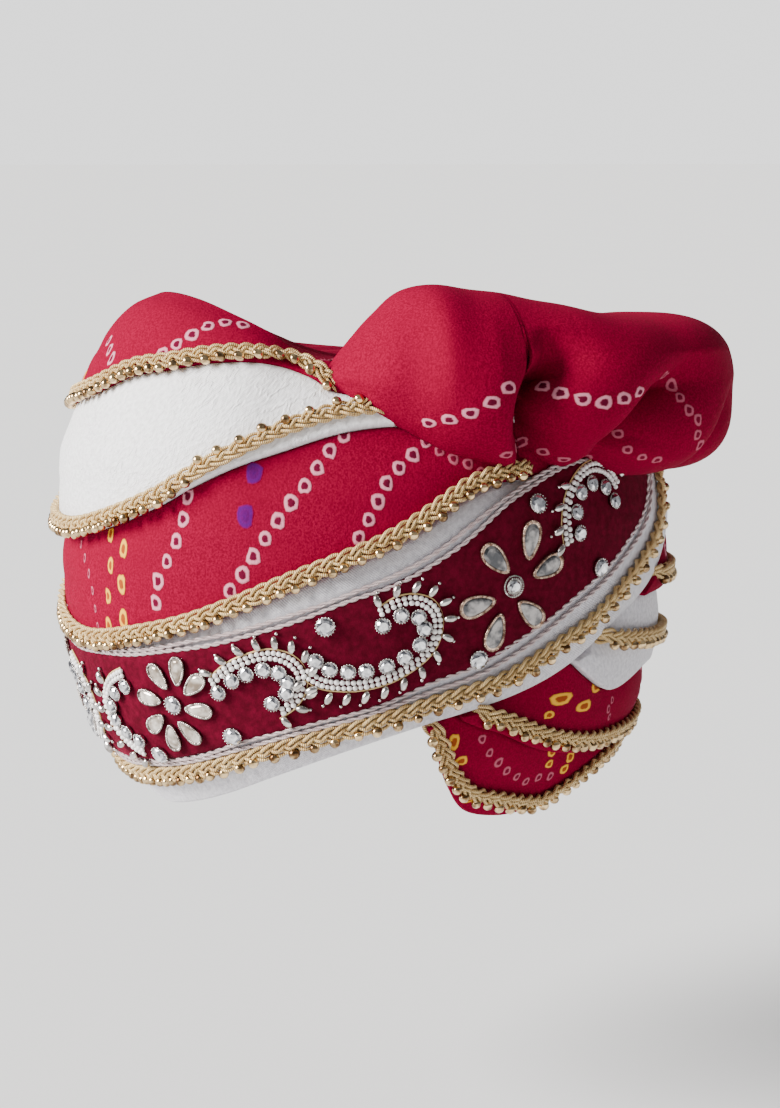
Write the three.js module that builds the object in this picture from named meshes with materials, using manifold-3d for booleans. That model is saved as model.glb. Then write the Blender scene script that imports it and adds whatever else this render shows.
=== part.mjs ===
// A pre-tied wedding turban: wraps of printed and brocade cloth wound round an open hollow for the head,
// a velvet border set with glass stones, gold braids on the folds, tiers at the nape and a gathered puff.
// Millimetres, +Z up. The wearer looks along -Y, and the wearer's left is +X.
// The origin is the centre of the head opening, level with the lowest edge at the brow.
import * as THREE from "three";
import Module from "manifold-3d";
import { mergeVertices } from "three/addons/utils/BufferGeometryUtils.js";

const wasm = await Module();
wasm.setup();

// Driving sizes
const bodyWidth = 252; // across the wraps at their widest, ear to ear
const bodyLength = 292; // across the wraps at their widest, brow to nape
const crownHeight = 239; // from the brow edge to the front peak
const crownCentreHeight = 203; // the middle of the roof
const wrapThickness = 6; // wound layers of one wrap
const roofThickness = 3;
const foldProud = 3.4; // how far the lower fold of a wrap stands over the next wrap
const crownProud = 0.8; // the same for the crown, which sits inside the wrap below it
const tierProud = 4.4; // the same for the tiers at the nape
const seam = 0.4; // between two wraps
const seatGap = 0.3; // between a piece and what it is sewn to
const foldRound = 2; // height of the rounding of a fold
const seatHeight = 10; // height of the flat seat above a fold, where a braid lies
const braidGap = 0.6; // the same under a braid
const velvetThickness = 1.5;
const braidWidth = 8;
const braidThickness = 3.6;
const beadDiameter = 4.8; // gold beads along the braid
const silverCordDiameter = 3;
const petalLength = 15;
const petalWidth = 9.6;
const petalHeight = 2.6;
const centreStoneDiameter = 9;
const loneStoneDiameter = 9;
const stoneHeight = 3.2;
const vineStoneDiameter = 6.8;
const vineBedWidth = 10; // seed beads sewn on both sides of the stones
const vineBedHeight = 1.2;
const puffHalfHeight = 42;
const puffHalfDepth = 50;
const ringSteps = 36; // sections in a whole turn

// Width of the body against height, as shares of half the body and of crownHeight
const flare = [
  { height: -0.1, width: 0.56 },
  { height: -0.046, width: 0.645 },
  { height: 0, width: 0.71 },
  { height: 0.046, width: 0.77 },
  { height: 0.15, width: 0.885 },
  { height: 0.245, width: 0.94 },
  { height: 0.35, width: 0.973 },
  { height: 0.455, width: 0.993 },
  { height: 0.56, width: 1 },
  { height: 1.1, width: 1 },
];

// How the shoulder draws in below the crest, as shares of crownHeight and of the width there
const shoulder = [
  { below: 0, width: 0.73 },
  { below: 0.017, width: 0.8 },
  { below: 0.048, width: 0.85 },
  { below: 0.1, width: 0.892 },
  { below: 0.16, width: 0.935 },
  { below: 0.225, width: 0.97 },
  { below: 0.31, width: 1 },
  { below: 1.3, width: 1 },
];
const crestShare = shoulder[0].width;
const roofPower = 1.8; // how sharply the roof falls from the crest

// Edges of the wraps round the head, as shares of crownHeight. degrees: 0 is the brow, 90 the wearer's left.
const edges = [
  { degrees: -165, brow: 0.475, red: 0.63, white: 0.694, crown: 0.757, crest: 0.83 },
  { degrees: -150, brow: 0.42, red: 0.628, white: 0.69, crown: 0.756, crest: 0.83 },
  { degrees: -120, brow: 0.325, red: 0.6, white: 0.682, crown: 0.76, crest: 0.838 },
  { degrees: -90, brow: 0.242, red: 0.542, white: 0.655, crown: 0.757, crest: 0.86 },
  { degrees: -60, brow: 0.158, red: 0.458, white: 0.608, crown: 0.75, crest: 0.904 },
  { degrees: -30, brow: 0.05, red: 0.372, white: 0.542, crown: 0.742, crest: 0.967 },
  { degrees: -15, brow: 0.018, red: 0.343, white: 0.53, crown: 0.752, crest: 0.992 },
  { degrees: 0, brow: 0.004, red: 0.33, white: 0.535, crown: 0.772, crest: 1 },
  { degrees: 15, brow: 0.022, red: 0.342, white: 0.572, crown: 0.822, crest: 0.99 },
  { degrees: 30, brow: 0.056, red: 0.378, white: 0.632, crown: 0.858, crest: 0.962 },
  { degrees: 45, brow: 0.106, red: 0.425, white: 0.69, crown: 0.864, crest: 0.93 },
  { degrees: 60, brow: 0.158, red: 0.488, white: 0.738, crown: 0.84, crest: 0.898 },
  { degrees: 75, brow: 0.204, red: 0.56, white: 0.752, crown: 0.812, crest: 0.874 },
  { degrees: 90, brow: 0.242, red: 0.648, white: 0.745, crown: 0.795, crest: 0.862 },
  { degrees: 105, brow: 0.305, red: 0.7, white: 0.745, crown: 0.788, crest: 0.855 },
  { degrees: 120, brow: 0.4, red: 0.705, white: 0.745, crown: 0.785, crest: 0.848 },
  { degrees: 135, brow: 0.48, red: 0.705, white: 0.745, crown: 0.785, crest: 0.845 },
  { degrees: 150, brow: 0.56, red: 0.685, white: 0.733, crown: 0.78, crest: 0.84 },
  { degrees: 165, brow: 0.57, red: 0.66, white: 0.714, crown: 0.77, crest: 0.835 },
  { degrees: 180, brow: 0.53, red: 0.642, white: 0.702, crown: 0.762, crest: 0.832 },
];

// Lower edges of the tiers at the nape and the braid on the white one, the same on both sides,
// as shares of crownHeight
const napeEdges = [
  { degrees: 75, redTop: 0.46, white: 0.4, redMiddle: 0.24, hem: 0.2, whiteTrim: 0.4 },
  { degrees: 78, redTop: 0.46, white: 0.4, redMiddle: 0.23, hem: 0.145, whiteTrim: 0.4 },
  { degrees: 81, redTop: 0.46, white: 0.4, redMiddle: 0.215, hem: 0.085, whiteTrim: 0.39 },
  { degrees: 85, redTop: 0.46, white: 0.39, redMiddle: 0.195, hem: 0.035, whiteTrim: 0.38 },
  { degrees: 90, redTop: 0.45, white: 0.37, redMiddle: 0.178, hem: 0.008, whiteTrim: 0.37 },
  { degrees: 99, redTop: 0.44, white: 0.33, redMiddle: 0.14, hem: -0.008, whiteTrim: 0.355 },
  { degrees: 105, redTop: 0.43, white: 0.3, redMiddle: 0.122, hem: -0.01, whiteTrim: 0.348 },
  { degrees: 112, redTop: 0.415, white: 0.255, redMiddle: 0.108, hem: -0.008, whiteTrim: 0.34 },
  { degrees: 120, redTop: 0.4, white: 0.222, redMiddle: 0.1, hem: -0.006, whiteTrim: 0.328 },
  { degrees: 135, redTop: 0.395, white: 0.245, redMiddle: 0.1, hem: 0.002, whiteTrim: 0.312 },
  { degrees: 150, redTop: 0.39, white: 0.242, redMiddle: 0.105, hem: 0.004, whiteTrim: 0.305 },
  { degrees: 180, redTop: 0.38, white: 0.23, redMiddle: 0.11, hem: 0.006, whiteTrim: 0.292 },
];

// The velvet border on the brow wrap, measured in from that wrap's two edges
const borderFoot = 18.5;
const borderHead = 8.5;
const borderFrom = -135; // degrees
const borderTo = 126;
const browTrimRise = 10; // brow edge to the middle of its braid
const foldTrimRise = 4.1; // fold edge to the middle of its braid
const trimFrom = -189; // degrees; both ends lie under the puff
const trimTo = { crown: 58, white: 74, red: 96, brow: 134 };
const napeTrimRise = { redTop: 9, redMiddle: 5.5, hem: 7.5 };

// Ornaments of the border: along is the share of the way round the head from the brow to the nape, across
// a share of the border's width, and a flower's reach a share of petalLength
const flowerAt = [
  { name: "brow_flower", along: 0.133, across: 0.58, petals: 8, turned: 25, reach: 0.967, size: 0.84 },
  { name: "side_flower", along: 0.498, across: 0.49, petals: 6, turned: 2, reach: 1.2, size: 1.08 },
];
const vineAt = {
  vine_brow: [
    { along: 0.068, across: 0.83 },
    { along: 0.047, across: 0.77 },
    { along: 0.033, across: 0.64 },
    { along: 0.033, across: 0.5 },
    { along: 0.047, across: 0.38 },
    { along: 0.065, across: 0.3 },
  ],
  vine_left_arch: [
    { along: 0.189, across: 0.6 },
    { along: 0.206, across: 0.67 },
    { along: 0.222, across: 0.69 },
    { along: 0.241, across: 0.68 },
    { along: 0.257, across: 0.6 },
    { along: 0.266, across: 0.48 },
    { along: 0.264, across: 0.37 },
    { along: 0.248, across: 0.32 },
  ],
  vine_left_hook: [
    { along: 0.292, across: 0.56 },
    { along: 0.306, across: 0.44 },
    { along: 0.325, across: 0.36 },
    { along: 0.344, across: 0.31 },
    { along: 0.365, across: 0.29 },
    { along: 0.383, across: 0.31 },
    { along: 0.4, across: 0.37 },
    { along: 0.404, across: 0.49 },
    { along: 0.397, across: 0.61 },
    { along: 0.379, across: 0.69 },
    { along: 0.36, across: 0.67 },
  ],
  vine_side: [
    { along: 0.577, across: 0.6 },
    { along: 0.575, across: 0.73 },
    { along: 0.587, across: 0.84 },
    { along: 0.608, across: 0.87 },
    { along: 0.629, across: 0.81 },
    { along: 0.64, across: 0.68 },
  ],
};
const loneStones = [
  { name: "stone_brow_low", along: 0.091, across: 0.17 },
  { name: "stone_brow_right", along: 0.199, across: 0.16 },
  { name: "stone_middle_high", along: 0.304, across: 0.84 },
  { name: "stone_side_low", along: 0.465, across: 0.1 },
  { name: "stone_side_high", along: 0.528, across: 0.9 },
  { name: "stone_back_low", along: 0.612, across: 0.27 },
];

// The puff: stations round the wearer's left. x, y, z place its middle and up, down, out and inn its size.
// x and y are shares of half the body, z of crownHeight, up and down of puffHalfHeight,
// out and inn of puffHalfDepth.
const puffStations = [
  { x: 0.57, y: -0.52, z: 0.838, up: 0.1, down: 0.1, out: 0.12, inn: 0.12 },
  { x: 0.61, y: -0.43, z: 0.838, up: 0.36, down: 0.36, out: 0.48, inn: 0.5 },
  { x: 0.66, y: -0.32, z: 0.838, up: 0.68, down: 0.66, out: 0.74, inn: 0.75 },
  { x: 0.7, y: -0.18, z: 0.83, up: 1.0, down: 0.94, out: 0.97, inn: 0.95 },
  { x: 0.74, y: -0.02, z: 0.815, up: 1.06, down: 1.05, out: 1.02, inn: 1 },
  { x: 0.78, y: 0.13, z: 0.807, up: 1.0, down: 1.02, out: 0.78, inn: 1 },
  { x: 0.78, y: 0.3, z: 0.8, up: 0.92, down: 0.95, out: 1.04, inn: 1 },
  { x: 0.74, y: 0.48, z: 0.792, up: 0.84, down: 0.9, out: 0.84, inn: 1 },
  { x: 0.64, y: 0.66, z: 0.79, up: 0.84, down: 0.9, out: 0.98, inn: 0.95 },
  { x: 0.44, y: 0.8, z: 0.79, up: 0.82, down: 0.88, out: 0.82, inn: 0.85 },
  { x: 0.22, y: 0.86, z: 0.79, up: 0.76, down: 0.8, out: 0.8, inn: 0.7 },
  { x: 0.06, y: 0.86, z: 0.795, up: 0.5, down: 0.5, out: 0.5, inn: 0.45 },
  { x: -0.02, y: 0.84, z: 0.8, up: 0.12, down: 0.12, out: 0.12, inn: 0.12 },
];
const puffSides = 12;

const radians = THREE.MathUtils.degToRad;

// A smooth curve through a table's rows, at x
function curveAt(rows, xName, yName, x) {
  const last = rows.length - 1;
  let i = rows.findIndex((row) => row[xName] >= x);
  i = i < 0 ? last : Math.max(i, 1);
  const [a, b] = [rows[i - 1], rows[i]];
  const before = rows[Math.max(i - 2, 0)];
  const after = rows[Math.min(i + 1, last)];
  const slope = (p, q) => (q === p ? 0 : (q[yName] - p[yName]) / (q[xName] - p[xName]));
  const width = b[xName] - a[xName];
  const t = THREE.MathUtils.clamp((x - a[xName]) / width, 0, 1);
  const [m0, m1] = [slope(before, b) * width, slope(a, after) * width];
  const [t2, t3] = [t * t, t * t * t];
  return (
    a[yName] * (2 * t3 - 3 * t2 + 1) + m0 * (t3 - 2 * t2 + t) + b[yName] * (3 * t2 - 2 * t3) + m1 * (t3 - t2)
  );
}

// The same on a table that goes round the head, and straight between the ring's sections,
// so that wraps with other sections still meet
const turn = (degrees) => ((((degrees + 180) % 360) + 360) % 360) - 180;
const roundEdges = [
  ...edges.slice(-2).map((row) => ({ ...row, degrees: row.degrees - 360 })),
  ...edges,
  ...edges.slice(0, 2).map((row) => ({ ...row, degrees: row.degrees + 360 })),
];
const ringStep = 360 / ringSteps;
function straightBetweenSections(degrees, heightAt) {
  const low = Math.floor(degrees / ringStep + 1e-9) * ringStep;
  const share = (degrees - low) / ringStep;
  return (1 - share) * heightAt(low) + (share > 1e-9 ? share * heightAt(low + ringStep) : 0);
}
const edge = (name, degrees) =>
  straightBetweenSections(degrees, (d) => crownHeight * curveAt(roundEdges, "degrees", name, turn(d)));
function napeEdge(name, degrees) {
  return crownHeight * curveAt(napeEdges, "degrees", name, Math.abs(turn(degrees)));
}

// The body's surface. A section is drawn in a vertical plane through the axis,
// as [distance from the axis, height].
const headRadius = (degrees) =>
  Math.hypot((bodyWidth / 2) * Math.sin(radians(degrees)), (bodyLength / 2) * Math.cos(radians(degrees)));
function bodyRadius(degrees, z) {
  const below = Math.max(edge("crest", degrees) - z, 0) / crownHeight;
  return (
    headRadius(degrees) *
    curveAt(flare, "height", "width", z / crownHeight) *
    curveAt(shoulder, "below", "width", below)
  );
}
function wall(degrees, z, out) {
  const top = edge("crest", degrees);
  const [low, high] = [Math.min(z, top) - 1, Math.min(z + 1, top)];
  const [run, rise] = [bodyRadius(degrees, high) - bodyRadius(degrees, low), high - low];
  const length = Math.hypot(run, rise);
  return [bodyRadius(degrees, z) + (out * rise) / length, z - (out * run) / length];
}
function roof(degrees, share, out) {
  const crest = edge("crest", degrees);
  const z = crownCentreHeight + (crest - crownCentreHeight) * share ** roofPower;
  const wide = curveAt(flare, "height", "width", crest / crownHeight);
  const crestRadius = headRadius(degrees) * crestShare * wide;
  return [crestRadius * share, z + out];
}
function inSpace(degrees, [radius, z]) {
  const a = radians(degrees);
  const x = (bodyWidth / 2) * Math.sin(a);
  const y = (-bodyLength / 2) * Math.cos(a);
  const scale = radius / Math.hypot(x, y);
  return new THREE.Vector3(x * scale, y * scale, z);
}

// Solids
const group = new THREE.Group();
const colours = {
  red: { color: 0xb01030, roughness: 0.8, metalness: 0 },
  white: { color: 0xe6e2de, roughness: 0.6, metalness: 0 },
  velvet: { color: 0x5c0a1c, roughness: 0.95, metalness: 0 },
  gold: { color: 0xc8a25c, roughness: 0.4, metalness: 0.7 },
  silver: { color: 0xd6cfca, roughness: 0.35, metalness: 0.8 },
  glass: { color: 0xcfc8b8, roughness: 0.1, metalness: 0.2 },
};
const materials = Object.fromEntries(
  Object.entries(colours).map(([name, values]) => [name, new THREE.MeshStandardMaterial(values)]),
);
function piece(name, geometry, material) {
  const mesh = new THREE.Mesh(geometry, materials[material]);
  mesh.name = name;
  group.add(mesh);
}

// A closed geometry from points and faces, turned to face outwards
function geometryOf(points, faces) {
  const volume = faces.reduce(
    (sum, [a, b, c]) => sum + points[a].dot(new THREE.Vector3().crossVectors(points[b], points[c])),
    0,
  );
  const index = volume < 0 ? faces.map(([a, b, c]) => [a, c, b]) : faces;
  return new THREE.BufferGeometry().setFromPoints(points).setIndex(index.flat());
}

// A solid through rings of points that all have the same count. ends: "closed" is a whole turn,
// "poles" closes each ring's first and last point on the axis, "flat" caps the two ends.
function loft(rings, ends) {
  const count = rings[0].length;
  const points = rings.flat();
  const faces = [];
  const quad = (a, b, c, d) => faces.push([a, b, c], [a, c, d]);
  rings.forEach((ring, i) => {
    if (ends === "flat" && i === rings.length - 1) return;
    const next = ((i + 1) % rings.length) * count;
    const here = i * count;
    const sides = ends === "poles" ? count - 1 : count;
    for (let j = 0; j < sides; j++) {
      const k = (j + 1) % count;
      quad(here + j, next + j, next + k, here + k);
    }
  });
  if (ends === "flat") {
    [0, rings.length - 1].forEach((i) => {
      const ring = rings[i];
      const middle = ring.reduce((sum, p) => sum.add(p), new THREE.Vector3()).divideScalar(count);
      const across = ring[0].clone().sub(middle).normalize();
      const normal = new THREE.Vector3();
      ring.forEach((p, j) => {
        const q = ring[(j + 1) % count];
        normal.add(new THREE.Vector3().crossVectors(p.clone().sub(middle), q.clone().sub(middle)));
      });
      const up = normal.normalize().cross(across).normalize();
      const flat = ring.map((p) => {
        const d = p.clone().sub(middle);
        return new THREE.Vector2(d.dot(across), d.dot(up));
      });
      const ringOrder = ([a, b, c]) =>
        flat[b].clone().sub(flat[a]).cross(flat[c].clone().sub(flat[a])) > 0 ? [a, b, c] : [a, c, b];
      THREE.ShapeUtils.triangulateShape(flat, []).forEach((corners) => {
        const [a, b, c] = ringOrder(corners).map((corner) => i * count + corner);
        faces.push(i === 0 ? [a, b, c] : [a, c, b]);
      });
    });
  }
  return geometryOf(points, faces);
}

// A cap whose sections run from the axis outside to the axis inside
function capOf(sectionAt, topZ, bottomZ) {
  const rings = Array.from({ length: ringSteps }, (_, i) =>
    sectionAt(i * ringStep).map((p) => inSpace(i * ringStep, p)),
  );
  const count = rings[0].length;
  const points = [...rings.flat(), new THREE.Vector3(0, 0, topZ), new THREE.Vector3(0, 0, bottomZ)];
  const [top, bottom] = [points.length - 2, points.length - 1];
  const faces = [];
  rings.forEach((_, i) => {
    const [here, next] = [i * count, ((i + 1) % ringSteps) * count];
    for (let j = 0; j < count - 1; j++) {
      faces.push([here + j, next + j, next + j + 1], [here + j, next + j + 1, here + j + 1]);
    }
    faces.push([top, next, here], [bottom, here + count - 1, next + count - 1]);
  });
  return geometryOf(points, faces);
}

// Wraps. The outer line of a wrap stands proud at its lower fold, where a braid is sewn on,
// and falls back to the body above it, under the next fold. grow moves the whole line out.
function foldOutline(degrees, low, high, proud, grow = 0) {
  const seatTop = low + Math.min(seatHeight, (high - low) * 0.6);
  return [
    wall(degrees, low, proud * 0.6 + grow),
    wall(degrees, low + Math.min(foldRound, (high - low) * 0.2), proud + grow),
    wall(degrees, seatTop, proud + grow),
    wall(degrees, high, grow),
  ];
}
const wholeTurn = Array.from({ length: ringSteps }, (_, i) => i * ringStep);
const ringOf = (sectionAt) => loft(wholeTurn.map((d) => sectionAt(d).map((p) => inSpace(d, p))), "closed");

const browLine = (degrees, grow = 0) => {
  const [low, high] = [edge("brow", degrees), edge("red", degrees) - seam];
  const middle = (low + borderFoot + high - borderHead) / 2;
  return [
    wall(degrees, low, foldProud * 0.3 + grow),
    wall(degrees, low + foldProud, foldProud + grow),
    wall(degrees, middle, foldProud + grow),
    wall(degrees, high - borderHead / 2, foldProud + grow),
    wall(degrees, high, grow),
  ];
};
const redLine = (d, grow) => foldOutline(d, edge("red", d), edge("white", d) - seam, foldProud, grow);
const whiteLine = (d, grow) => foldOutline(d, edge("white", d), edge("crown", d) - seam, foldProud, grow);
const crownRises = [0, foldRound, seatHeight, 2 * seatHeight];
const crownLine = (degrees, grow = 0) => {
  const [low, high] = [edge("crown", degrees), edge("crest", degrees)];
  const fit = Math.min(1, (high - low) / (crownRises[3] * 1.15));
  const outs = [crownProud * 0.6, crownProud, crownProud, crownProud * 0.4];
  const rising = crownRises.map((rise, i) => wall(degrees, low + rise * fit, outs[i] + grow));
  const shoulderMiddle = (low + crownRises[3] * fit + high) / 2;
  return [...rising, wall(degrees, shoulderMiddle, crownProud * 0.2 + grow), wall(degrees, high, grow)];
};
const roofShares = [0.68, 0.34];
const crownSection = (degrees) => {
  const [low, high] = [edge("crown", degrees), edge("crest", degrees)];
  return [
    ...roofShares.toReversed().map((share) => roof(degrees, share, 0)),
    ...crownLine(degrees).reverse(),
    wall(degrees, low, -wrapThickness),
    wall(degrees, (low + high) / 2, -(wrapThickness + roofThickness) / 2),
    roof(degrees, 1 - roofThickness / headRadius(degrees) / crestShare, -roofThickness * 1.3),
    ...roofShares.map((share) => roof(degrees, share, -roofThickness)),
  ];
};
const withInside = (line, degrees, low, high) => [
  ...line,
  wall(degrees, high, -wrapThickness),
  wall(degrees, (low + high) / 2, -wrapThickness),
  wall(degrees, low, -wrapThickness),
];
piece("crown_wrap", capOf(crownSection, crownCentreHeight, crownCentreHeight - roofThickness), "red");
const ringWraps = [
  { name: "white_wrap", line: whiteLine, low: "white", high: "crown", material: "white" },
  { name: "red_wrap", line: redLine, low: "red", high: "white", material: "red" },
  { name: "brow_wrap", line: browLine, low: "brow", high: "red", material: "white" },
];
ringWraps.forEach(({ name, line, low, high, material }) => {
  piece(name, ringOf((d) => withInside(line(d), d, edge(low, d), edge(high, d) - seam)), material);
});

// Tiers at the nape, each from its lower edge up to the edge above it, ending where the brow wrap covers it
const tiers = [
  { name: "nape_red_top", low: "redTop", above: [], material: "red" },
  { name: "nape_white", low: "white", above: ["redTop"], material: "white" },
  { name: "nape_red_middle", low: "redMiddle", above: ["redTop", "white"], material: "red" },
  { name: "nape_red_hem", low: "hem", above: ["redTop", "white", "redMiddle"], material: "red" },
];
const leastTier = 1.6; // height at which a tier starts
const fineStep = 1.5; // degrees, when looking for where a tier starts
const steepZone = [75, 78, 81, 85]; // extra sections where the hem falls steeply
function tierHeights(tier, degrees) {
  const tops = [edge("brow", degrees), ...tier.above.map((name) => napeEdge(name, degrees))];
  return [napeEdge(tier.low, degrees), Math.min(...tops) - seam];
}
function tierAngles(tier) {
  let start = 72;
  while (tierHeights(tier, start)[1] - tierHeights(tier, start)[0] < leastTier) start += fineStep;
  let end = 288;
  while (tierHeights(tier, end)[1] - tierHeights(tier, end)[0] < leastTier) end -= fineStep;
  const inside = [...wholeTurn, ...steepZone, ...steepZone.map((d) => 360 - d)]
    .filter((d) => d > start + fineStep && d < end - fineStep)
    .sort((a, b) => a - b);
  return [start, ...new Set(inside), end];
}
tiers.forEach((tier) => {
  const rings = tierAngles(tier).map((d) => {
    const [low, high] = tierHeights(tier, d);
    const section = [
      ...foldOutline(d, low, high, tierProud),
      wall(d, high, -wrapThickness),
      wall(d, low, -wrapThickness),
    ];
    return section.map((p) => inSpace(d, p));
  });
  piece(tier.name, loft(rings, "flat"), tier.material);
});

// A gold trim: a flat plaited braid with a row of beads along its lower side, as one section.
// z is the height of the braid's middle and seat how far its foot stands off the body.
const beadReach = beadDiameter * 0.92;
const trimOutline = [
  [braidWidth / 2, 0],
  [braidWidth / 2 + braidWidth / 20, braidThickness * 0.6],
  [0, braidThickness],
  [-braidWidth / 2, beadReach],
  [-braidWidth / 2 - beadDiameter * 0.75, beadReach * 0.6],
  [-braidWidth / 2 - beadDiameter * 0.4, 0],
];
const trimHalf = braidWidth / 2 + beadDiameter * 0.75;
const beadOverhang = beadDiameter * 0.6; // how far beads may hang past a tier's lower edge
// On the rounded shoulder the foot has one more point, so that it follows the cloth
const shoulderTrimOutline = [...trimOutline, [-braidWidth / 8, 0]];
function trimSection(d, z, seat, outline) {
  return outline.map(([up, out]) => wall(d, z + up, seat + braidGap + out));
}
// The same, a little larger all round, to cut room in what lies over it
const grownTrimSection = (d, z, seat, outline) => {
  const [up0, out0] = [-beadDiameter / 3, braidThickness / 2];
  return outline.map(([up, out]) => {
    const grow = 1 + (2 * seam) / Math.hypot(up - up0, out - out0);
    return wall(d, z + up0 + (up - up0) * grow, seat + braidGap + out0 + (out - out0) * grow);
  });
};
function anglesBetween(from, to) {
  const steps = Math.ceil((to - from) / ringStep);
  const inside = Array.from({ length: steps + 1 }, (_, i) => (Math.floor(from / ringStep) + i) * ringStep);
  return [from, ...inside.filter((d) => d > from + 1 && d < to - 1), to];
}
const strip = (from, to, sectionAt) =>
  loft(anglesBetween(from, to).map((d) => sectionAt(d).map((p) => inSpace(d, p))), "flat");

const ringTrims = [
  { name: "trim_crown", edge: "crown", rise: foldTrimRise, seat: crownProud, outline: shoulderTrimOutline },
  { name: "trim_white", edge: "white", rise: foldTrimRise, seat: foldProud, outline: trimOutline },
  { name: "trim_red", edge: "red", rise: foldTrimRise, seat: foldProud, outline: trimOutline },
  { name: "trim_brow", edge: "brow", rise: browTrimRise, seat: foldProud, outline: trimOutline },
];
const ringTrim = (trim, sectionOf) => (d) => {
  return sectionOf(d, edge(trim.edge, d) + trim.rise, trim.seat, trim.outline);
};
ringTrims.forEach((trim) => {
  piece(trim.name, strip(trimFrom, trimTo[trim.edge], ringTrim(trim, trimSection)), "gold");
});

// The trims of the tiers start and end where the brow wrap covers them
const tierTrimHeight = (tier, d) =>
  tier.low === "white" ? napeEdge("whiteTrim", d) : tierHeights(tier, d)[0] + napeTrimRise[tier.low];
tiers.forEach((tier) => {
  const shows = (d) => {
    const [low, high] = tierHeights(tier, d);
    const z = tierTrimHeight(tier, d);
    return z + braidWidth / 2 + 2 * braidGap < high && z - trimHalf + beadOverhang > low;
  };
  const rings = tierAngles(tier)
    .filter(shows)
    .map((d) => trimSection(d, tierTrimHeight(tier, d), tierProud, trimOutline).map((p) => inSpace(d, p)));
  piece(tier.name.replace("nape", "trim_nape"), loft(rings, "flat"), "gold");
});

// The velvet border, with a silver cord along each edge
const borderHeights = (d) => [edge("brow", d) + borderFoot, edge("red", d) - seam - borderHead];
const velvetOut = foldProud + seatGap + 0.1;
const borderShares = [0, 0.5, 1];
const borderOuter = (d) => {
  const [low, high] = borderHeights(d);
  return borderShares.map((share) => wall(d, low + (high - low) * share, velvetOut + velvetThickness));
};
const borderInner = (d) => {
  const [low, high] = borderHeights(d);
  return [...borderShares].reverse().map((share) => wall(d, low + (high - low) * share, velvetOut));
};
piece("velvet_border", strip(borderFrom, borderTo, (d) => [...borderOuter(d), ...borderInner(d)]), "velvet");
const cordSides = 5;
const cordSection = (d, z) => {
  const radius = silverCordDiameter / 2;
  return Array.from({ length: cordSides }, (_, i) => {
    const a = (2 * Math.PI * i) / cordSides;
    return wall(d, z + radius * Math.sin(a), velvetOut + radius * (1 + Math.cos(a)));
  });
};
const cordClear = silverCordDiameter / 2 + seatGap;
const lowCord = (d) => cordSection(d, borderHeights(d)[0] - cordClear);
const highCord = (d) => cordSection(d, borderHeights(d)[1] + cordClear);
piece("silver_cord_low", strip(borderFrom, borderTo, lowCord), "silver");
piece("silver_cord_high", strip(borderFrom, borderTo, highCord), "silver");

// Places on the border: along is the way round the head from the brow, across the share of its width
const arcStep = 0.5; // degrees
const arcBetween = (from, to) => {
  const [a, b] = [from, to].map((d) => inSpace(d, [headRadius(d), 0]));
  return a.distanceTo(b);
};
const arcParts = Array.from({ length: 180 / arcStep }, (_, i) => arcBetween(i * arcStep, (i + 1) * arcStep));
const halfGirth = arcParts.reduce((sum, part) => sum + part);
const onBorder = (row) => ({ ...row, along: row.along * halfGirth });
function degreesAlong(along) {
  let degrees = 0;
  let gone = 0;
  const way = Math.sign(along) * arcStep;
  while (gone < Math.abs(along)) {
    gone += arcBetween(degrees, degrees + way);
    degrees += way;
  }
  return degrees;
}
// A point on the border's faces themselves, so that what is sewn on lies against them
const borderSections = anglesBetween(borderFrom, borderTo).map((degrees) => ({
  degrees,
  line: borderOuter(degrees).map((p) => inSpace(degrees, p)),
}));
function borderPoint(along, across) {
  const degrees = degreesAlong(along);
  const next = Math.max(borderSections.findIndex((section) => section.degrees > degrees), 1);
  const [here, there] = [borderSections[next - 1], borderSections[next]];
  const s = (degrees - here.degrees) / (there.degrees - here.degrees);
  const above = borderShares.findIndex((share) => share >= across);
  const row = THREE.MathUtils.clamp(above, 1, borderShares.length - 1);
  const t = (across - borderShares[row - 1]) / (borderShares[row] - borderShares[row - 1]);
  const [a, b, c, d] = [here.line[row - 1], there.line[row - 1], there.line[row], here.line[row]];
  const [corner, side, rise] = s >= t ? [a, [a, b, s], [b, c, t]] : [a, [a, d, t], [d, c, s]];
  const step = ([from, to, share]) => to.clone().sub(from).multiplyScalar(share);
  return corner.clone().add(step(side)).add(step(rise));
}
// The frame of something sewn to the border there, clear of the faces as far as its reach
const rimPoints = 12;
function borderFrame(along, across, reach) {
  const origin = borderPoint(along, across);
  const degrees = degreesAlong(along);
  const width = borderHeights(degrees)[1] - borderHeights(degrees)[0];
  const share = reach / width;
  const x = borderPoint(along + reach, across).sub(borderPoint(along - reach, across)).normalize();
  const up = borderPoint(along, across + share).sub(borderPoint(along, across - share));
  const z = new THREE.Vector3().crossVectors(x, up).normalize();
  const y = new THREE.Vector3().crossVectors(z, x);
  const heights = Array.from({ length: rimPoints }, (_, i) => {
    const a = (2 * Math.PI * i) / rimPoints;
    const p = borderPoint(along + reach * Math.cos(a), across + share * Math.sin(a));
    return p.sub(origin).dot(z);
  });
  const lift = Math.max(0, ...heights) + seatGap;
  return new THREE.Matrix4().makeBasis(x, y, z).setPosition(origin.addScaledVector(z, lift));
}

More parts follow.
